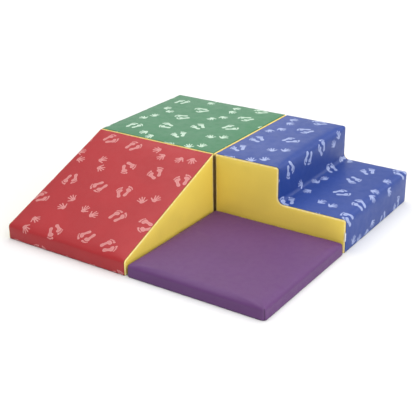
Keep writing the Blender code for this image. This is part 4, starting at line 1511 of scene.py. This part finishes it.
@dataclass
class Zip:
    """A zip sewn behind the slot of a cover: two tapes with their teeth, a slider without a pull, and the
    row of stitches round the slot. Its own +X runs along it and its own +Y looks out of the cover."""

    form: SewnForm
    tape_width: float
    tape: Finish
    teeth: Finish
    thread: Finish
    tooth_pitch: float = 0.0026
    tooth_length: float = 0.0032
    tooth_tip: float = 0.0006
    tooth_face: float = 0.0008
    half_tooth: float = 0.00056
    half_gap: float = 0.00015
    end_gap: float = 0.002
    cord: tuple[float, float] = (0.0024, 0.0036)
    cord_height: float = 0.0011
    tape_face: float = -0.0013
    tape_thickness: float = 0.0006
    overhang: float = 0.012
    slider_place: float = -0.229
    half_slider: float = 0.007
    slider_width: float = 0.0084
    bridge_width: float = 0.0024
    slider_foot: float = 0.0011
    slider_top: float = 0.0020

    @property
    def matrix(self) -> Matrix:
        """Where the zip is.

        Returns:
            Its place and its turn.
        """
        outward = self.form.zip_outward
        place = outward * HALF_SIDE + UP * self.form.zip_height
        turn = 0.0 if outward.y > 0.5 else pi / 2
        return self.form.matrix @ Matrix.Translation(place) @ Matrix.Rotation(turn, 4, "Z")

    def build(self) -> None:
        """Builds all its pieces."""
        for side, name in ((1, "upper"), (-1, "lower")):
            self.half(side, f"{self.form.name}_zip_{name}_tape")
        self.slider()
        self.stitching()

    def half(self, side: int, node: str) -> None:
        """Builds one tape with its teeth.

        Args:
            side: 1 for the upper half and -1 for the lower.
            node: The CAD node that it stands for.
        """
        bm = bmesh.new()
        reach, face = HALF_ZIP + self.overhang, self.tape_face
        add_block(bm, (-reach, face - self.tape_thickness, self.half_gap), (reach, face, self.tape_width),
                  0.0001)
        low, high = self.cord
        add_block(bm, (-HALF_ZIP, face, low), (HALF_ZIP, face + self.cord_height, high), 0.0005, 2)
        teeth = int(2 * (HALF_ZIP - self.end_gap) / self.tooth_pitch)
        first = ((1 - teeth) / 2 + side * 0.25) * self.tooth_pitch
        tooth = bmesh.new()
        half, tip = self.half_tooth, self.tooth_tip
        add_block(tooth, (-half, face, -tip), (half, self.tooth_face, self.tooth_length - tip), 0.00026)
        add_row(bm, tooth, Matrix.Translation(RIGHT * first), RIGHT * self.tooth_pitch, teeth, 1)
        if side < 0:
            bmesh.ops.scale(bm, vec=(1, 1, -1), verts=bm.verts)
            bmesh.ops.recalc_face_normals(bm, faces=bm.faces)
        unwrap(bm, lambda vert: vert.co.xz)
        add_piece(node + "_cloth", bm, self.matrix, (self.tape, self.teeth), 35, self.form.name, node)

    def narrow(self, verts: Iterable[BMVert], least: float) -> None:
        """Narrows part of the slider towards its end.

        Args:
            verts: The part's vertices.
            least: The share of its width that stays.
        """
        for vert in verts:
            share = (vert.co.x + self.half_slider) / (2 * self.half_slider)
            vert.co.z *= least + (1 - least) * sin(share * pi * 0.75)

    def slider(self) -> None:
        """Builds the slider, whose bridge has no pull, so that only an adult with a clip can move it."""
        bm = bmesh.new()
        foot, top = self.slider_foot, self.slider_top
        length, width, bridge = self.half_slider, self.slider_width / 2, self.bridge_width / 2
        add_block(bm, (-length, foot, -width), (length, top, width))
        cut(bm, RIGHT, (-0.0045, -0.001, 0.003))
        self.narrow(bm.verts, 0.80)
        bevel(bm, [edge for edge in bm.edges if edge.calc_face_angle(0) > 0.5], 0.0003, 2)
        for low, high in ((-0.0041, -0.0033), (0.0033, 0.0041)):
            flange = add_block(bm, (-0.0062, -0.0009, low), (0.0062, foot + 0.0004, high), 0.00025, 2)
            self.narrow(flange, 0.82)
        for place in (-0.0037, 0.0037):
            add_block(bm, (place - 0.0004, top - 0.0003, -bridge), (place + 0.0004, top + 0.0010, bridge),
                      0.0002, 2)
        add_block(bm, (-0.0041, top + 0.0007, -bridge), (0.0041, top + 0.0013, bridge), 0.00025, 2)
        bmesh.ops.translate(bm, vec=RIGHT * self.slider_place, verts=bm.verts)
        node = self.form.name + "_zip_slider"
        add_piece(self.form.name + "_zip_runner", bm, self.matrix, (NICKEL,), 30, node, node)

    def stitching(self) -> None:
        """Builds the row of stitches round the slot."""
        bm = bmesh.new()
        path = [Vector((x, 0.0001, z)) for x, z in rectangle(HALF_ZIP + 0.003, HALF_SLOT + 0.0026)]
        add_stitches(bm, path, FAR)
        add_piece(self.form.name + "_zip_stitching", bm, self.matrix, (self.thread,), 70, self.form.name)


@dataclass
class Strip:
    """A hook or loop strip sewn to the face of a module."""

    form: SewnForm
    node: str
    outward: Vector
    centre: tuple[float, float]
    size: tuple[float, float]
    finish: Finish
    thickness: float = 0.0016
    corner_radius: float = 0.006
    hem: float = 0.0035
    hem_slope: float = 0.0012
    hem_drop: float = 0.0005
    stitch_pitch: float = 0.0036
    stitch_depth: float = 0.00045

    def build(self) -> None:
        """Builds the strip, thinner along its stitched hem."""
        across = along_side(self.outward)
        basis = Matrix((across, UP, self.outward)).transposed().to_4x4()
        middle = self.outward * (HALF_SIDE + 0.0003) + UP * self.centre[1] + across * self.centre[0]
        half = Vector(self.size) / 2
        bm = bmesh.new()
        add_block(bm, (*-half, 0), (*half, self.thickness))
        upright = [edge for edge in bm.edges if abs(edge.verts[0].co.z - edge.verts[1].co.z) > TINY]
        bevel(bm, upright, self.corner_radius, 4)
        top = [face for face in bm.faces if face.normal.z > 0.9]
        for width in (self.hem, self.hem_slope):
            bmesh.ops.inset_region(bm, faces=top, thickness=width, depth=0)
        rim = [vert for vert in bm.verts if vert.co.z > self.thickness - TINY
               and not any(face in top for face in vert.link_faces)]
        bmesh.ops.translate(bm, vec=DOWN * self.hem_drop, verts=rim)
        bmesh.ops.inset_region(bm, faces=top, thickness=0.0008, depth=0)
        bevel(bm, [edge for edge in bm.edges if edge.calc_face_angle(0) > 1.2], 0.0003, 2)
        inset, height = self.hem * 0.55, self.thickness - self.stitch_depth
        path = [Vector((x, y, height)) for x, y in rectangle(half.x - inset, half.y - inset)]
        add_stitches(bm, path, UP, self.stitch_pitch, 1)
        if basis.determinant() < 0:
            bmesh.ops.reverse_faces(bm, faces=bm.faces)
        matrix = self.form.matrix @ Matrix.Translation(middle) @ basis
        add_piece(self.node + "_nap", bm, matrix, (self.finish, BLACK_THREAD), 40, self.form.name,
                  self.node)


@dataclass
class SeamTab:
    """The small blank woven tab, folded over and caught in the stairs' front corner seam."""

    form: SewnForm
    foot: float = 0.056
    height: float = 0.034
    reach: float = 0.0095
    loop_width: float = 0.0056
    thickness: float = 0.0005
    root: float = 0.004
    bend: float = radians(30)
    steps: int = 14

    def fold(self) -> BMesh:
        """Draws the folded strip up its height.

        Returns:
            The strip, still straight.
        """
        radius = (self.loop_width - self.thickness) / 2
        fold = self.root + self.reach - self.thickness / 2 - radius
        lean = asin(radius / (fold - self.root))
        turns = [(2 * step / self.steps - 1) * (pi / 2 + lean) for step in range(self.steps + 1)]
        points = [(self.root, -self.thickness / 2),
                  *((fold + radius * cos(turn), radius * sin(turn)) for turn in turns),
                  (self.root, self.thickness / 2)]
        bm = bmesh.new()
        verts = [bm.verts.new((run, aside, self.foot)) for run, aside in points]
        edges = [bm.edges.new(pair) for pair in zip(verts, verts[1:])]
        for _ in range(self.steps):
            drawn = bmesh.ops.extrude_edge_only(bm, edges=edges)["geom"]
            bmesh.ops.translate(bm, vec=UP * self.height / self.steps, verts=verts_of(drawn))
            edges = [item for item in drawn if isinstance(item, BMEdge)]
        unwrap(bm, lambda vert: (vert.co.x + vert.co.y, vert.co.z))
        return bm

    def build(self) -> None:
        """Builds the tab as a folded strip that bends a little along its height."""
        bm = self.fold()
        bend_radius = self.reach / self.bend
        for vert in bm.verts:
            share = (vert.co.z - self.foot) / self.height
            out = (vert.co.x - self.root) / self.reach
            turn = out * self.bend * (1 + 0.12 * sin(share * 4 + 0.4))
            radius = bend_radius + vert.co.y
            vert.co = (self.root + radius * sin(turn), radius * cos(turn) - bend_radius,
                       vert.co.z + out * 0.0008 * sin(share * 5))
        bmesh.ops.recalc_face_normals(bm, faces=bm.faces)
        place = (RIGHT + NEAR) * (HALF_SIDE - SEAM_ROLL)
        matrix = self.form.matrix @ Matrix.Translation(place) @ Matrix.Rotation(-pi / 4, 4, "Z")
        piece = add_piece("stairs_tab", bm, matrix, (WHITE_TAB,), 60, self.form.name, "stairs_seam_tab")
        thicken(piece, self.thickness, 0)


@dataclass
class Climber:
    """The whole climber: its four modules and what is sewn to them."""

    strip_size: tuple[float, float] = (0.050, 0.171)
    strip_height: float = 0.1695
    strip_place: float = 0.179
    low_strip_size: tuple[float, float] = (0.360, 0.018)
    low_strip_height: float = 0.019

    def modules(self) -> tuple[SewnForm, ...]:
        """Lists the four modules with their panels.

        Returns:
            The platform, the ramp, the stairs and the mat.
        """
        near, far = -MODULE_OFFSET, MODULE_OFFSET
        slope = Vector((BLOCK_HEIGHT - LIP_HEIGHT, 0, 2 * HALF_SIDE)).normalized()
        platform = Platform("platform", (near, far), 0.0, FAR, (
            Panel("platform_top_panel", (UP,), GREEN, 0.006),
            Panel("platform_front_panel", (NEAR,), YELLOW),
            Panel("platform_right_panel", (RIGHT,), YELLOW),
            Panel("platform_back_panel", (FAR,), YELLOW, 0.004, 0.055),
            Panel("platform_left_panel", (LEFT,), YELLOW, 0.004),
            Panel("platform_base_panel", (DOWN,), BASE)))
        ramp = Ramp("ramp", (near, near), -pi / 2, LEFT, (
            Panel("ramp_slope_panel", (slope, RIGHT), RED, 0.006),
            Panel("ramp_right_side_panel", (FAR,), YELLOW, 0.0016, 0.055),
            Panel("ramp_left_side_panel", (NEAR,), YELLOW, 0.004),
            Panel("ramp_back_panel", (LEFT,), YELLOW),
            Panel("ramp_base_panel", (DOWN,), BASE)))
        stairs = Stairs("stairs", (far, far), 0.0, LEFT, (
            Panel("stairs_step_panel", (UP, RIGHT), BLUE, 0.0045),
            Panel("stairs_near_side_panel", (NEAR,), YELLOW, 0.0016, 0.055),
            Panel("stairs_far_side_panel", (FAR,), YELLOW, 0.003),
            Panel("stairs_back_panel", (LEFT,), YELLOW),
            Panel("stairs_base_panel", (DOWN,), BASE)))
        mat = Mat("mat", (far, near), 0.0, FAR, (
            Panel("mat_top_cover", (UP, RIGHT, LEFT, FAR, NEAR), PURPLE, 0.006, 0.028),
            Panel("mat_base_panel", (DOWN,), BASE)), zip_height=0.019)
        return platform, ramp, stairs, mat

    def strips(self, platform: SewnForm, ramp: SewnForm, stairs: SewnForm, mat: SewnForm) -> list[Strip]:
        """Lists the hook and loop strips.

        Args:
            platform: The platform.
            ramp: The ramp.
            stairs: The stairs.
            mat: The mat.

        Returns:
            The strips.
        """
        made = []
        for form, kind, ends, outward, finish in (
                (platform, "front_loop", ("left", "right"), NEAR, LOOPS),
                (platform, "right_loop", ("near", "far"), RIGHT, LOOPS),
                (ramp, "back_hook", ("left", "right"), LEFT, HOOKS),
                (stairs, "back_hook", ("near", "far"), LEFT, HOOKS)):
            for end, side in zip(ends, (-1, 1)):
                made.append(Strip(form, f"{form.name}_{kind}_strip_{end}", outward,
                                  (side * self.strip_place, self.strip_height), self.strip_size, finish))
        low = ((0.0, self.low_strip_height), self.low_strip_size)
        made.append(Strip(ramp, "ramp_mat_hook_strip", FAR, *low, HOOKS))
        made.append(Strip(mat, "mat_loop_strip", LEFT, *low, LOOPS))
        return made

    def build(self) -> None:
        """Builds the whole climber."""
        forms = self.modules()
        for form in forms:
            form.lay_out()
        for form, blown in zip(forms, blow_up(forms)):
            form.build(blown)
        platform, ramp, stairs, mat = forms
        for form in (platform, ramp, stairs):
            Zip(form, 0.014, YELLOW_TAPE, YELLOW_TEETH, YELLOW_THREAD).build()
        Zip(mat, 0.0095, PURPLE_TAPE, PURPLE_TEETH, PURPLE_THREAD).build()
        for strip in self.strips(*forms):
            strip.build()
        SeamTab(stairs).build()


@dataclass
class Studio:
    """The pale floor, the soft lights and the camera at the photograph's angle."""

    azimuth: float = radians(34.255)
    elevation: float = radians(24.12)
    roll: float = radians(-0.813)
    camera_place: tuple[float, float, float] = (1.9477, -2.9116, 1.6196)
    lens: float = 77.963
    half_floor: float = 30.0

    def build(self) -> None:
        """Builds the studio."""
        self.floor()
        self.sky()
        self.lamp("overhead_softbox", (0.2, 0.6, 4.6), (0.2, 0.6, 0), 7.0, 233)
        self.lamp("right_softbox", (3.6, -1.2, 1.8), (0, 0, 0.1), 2.6, 55)
        self.lamp("back_left_softbox", (-3.4, 4.4, 2.7), (0, 0, 0.2), 3.6, 36)
        self.lamp("back_right_softbox", (1.9, 3.6, 2.3), (0.3, 0, 0.2), 2.4, 23)
        self.camera()

    def floor(self) -> None:
        """Lays the floor."""
        bm = bmesh.new()
        bmesh.ops.create_grid(bm, x_segments=8, y_segments=8, size=self.half_floor)
        add_piece("studio_floor", bm, Matrix(), (FLOOR,), 50)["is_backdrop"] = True

    def sky(self) -> None:
        """Lights the room evenly, and shows white behind it."""
        world = bpy.data.worlds.new("studio")
        world.use_nodes = True
        graph = Graph(world.node_tree)
        background = world.node_tree.nodes["Background"].inputs
        graph.join(background["Color"], (1, 1, 1))
        graph.join(background["Strength"], graph.add("LightPath")["Is Camera Ray"] * 0.4 + 0.6)
        bpy.context.scene.world = world

    def lamp(self, name: str, place: Sequence[float], target: Sequence[float], size: float,
             power: float) -> None:
        """Hangs a soft square light.

        Args:
            name: Its name.
            place: Where it hangs.
            target: Where it looks.
            size: Its side.
            power: Its power in watts.
        """
        light = bpy.data.lights.new(name, "AREA")
        light.size = size
        light.energy = power
        lamp = new_object(name, light)
        lamp.location = place
        lamp.rotation_euler = (Vector(place) - Vector(target)).to_track_quat("Z", "Y").to_euler()
        lamp.visible_camera = False

    def camera(self) -> None:
        """Sets the camera up."""
        level = Vector((-sin(self.azimuth), cos(self.azimuth), 0))
        ahead = level * cos(self.elevation) - UP * sin(self.elevation)
        right = Vector((cos(self.azimuth), sin(self.azimuth), 0))
        upward = right.cross(ahead)
        side = right * cos(self.roll) + upward * sin(self.roll)
        above = upward * cos(self.roll) - right * sin(self.roll)
        camera = new_object("camera", bpy.data.cameras.new("camera"))
        camera.data.lens = self.lens
        camera.data.sensor_width = 36
        camera.matrix_world = Matrix.Translation(self.camera_place) @ Matrix(
            (side, above, -ahead)).transposed().to_4x4()
        bpy.context.scene.camera = camera


def main() -> None:
    """Builds the climber and the studio."""
    logging.basicConfig(level=logging.INFO, format="%(name)s: %(message)s")
    Studio().build()
    Climber().build()
    bpy.context.scene.view_settings.view_transform = "Standard"
    boxes = {"cad": CAD_BOX, "visual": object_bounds()}
    {key: [list(corner) for corner in box] for key, box in boxes.items()}


if __name__ == "__main__":
    main()
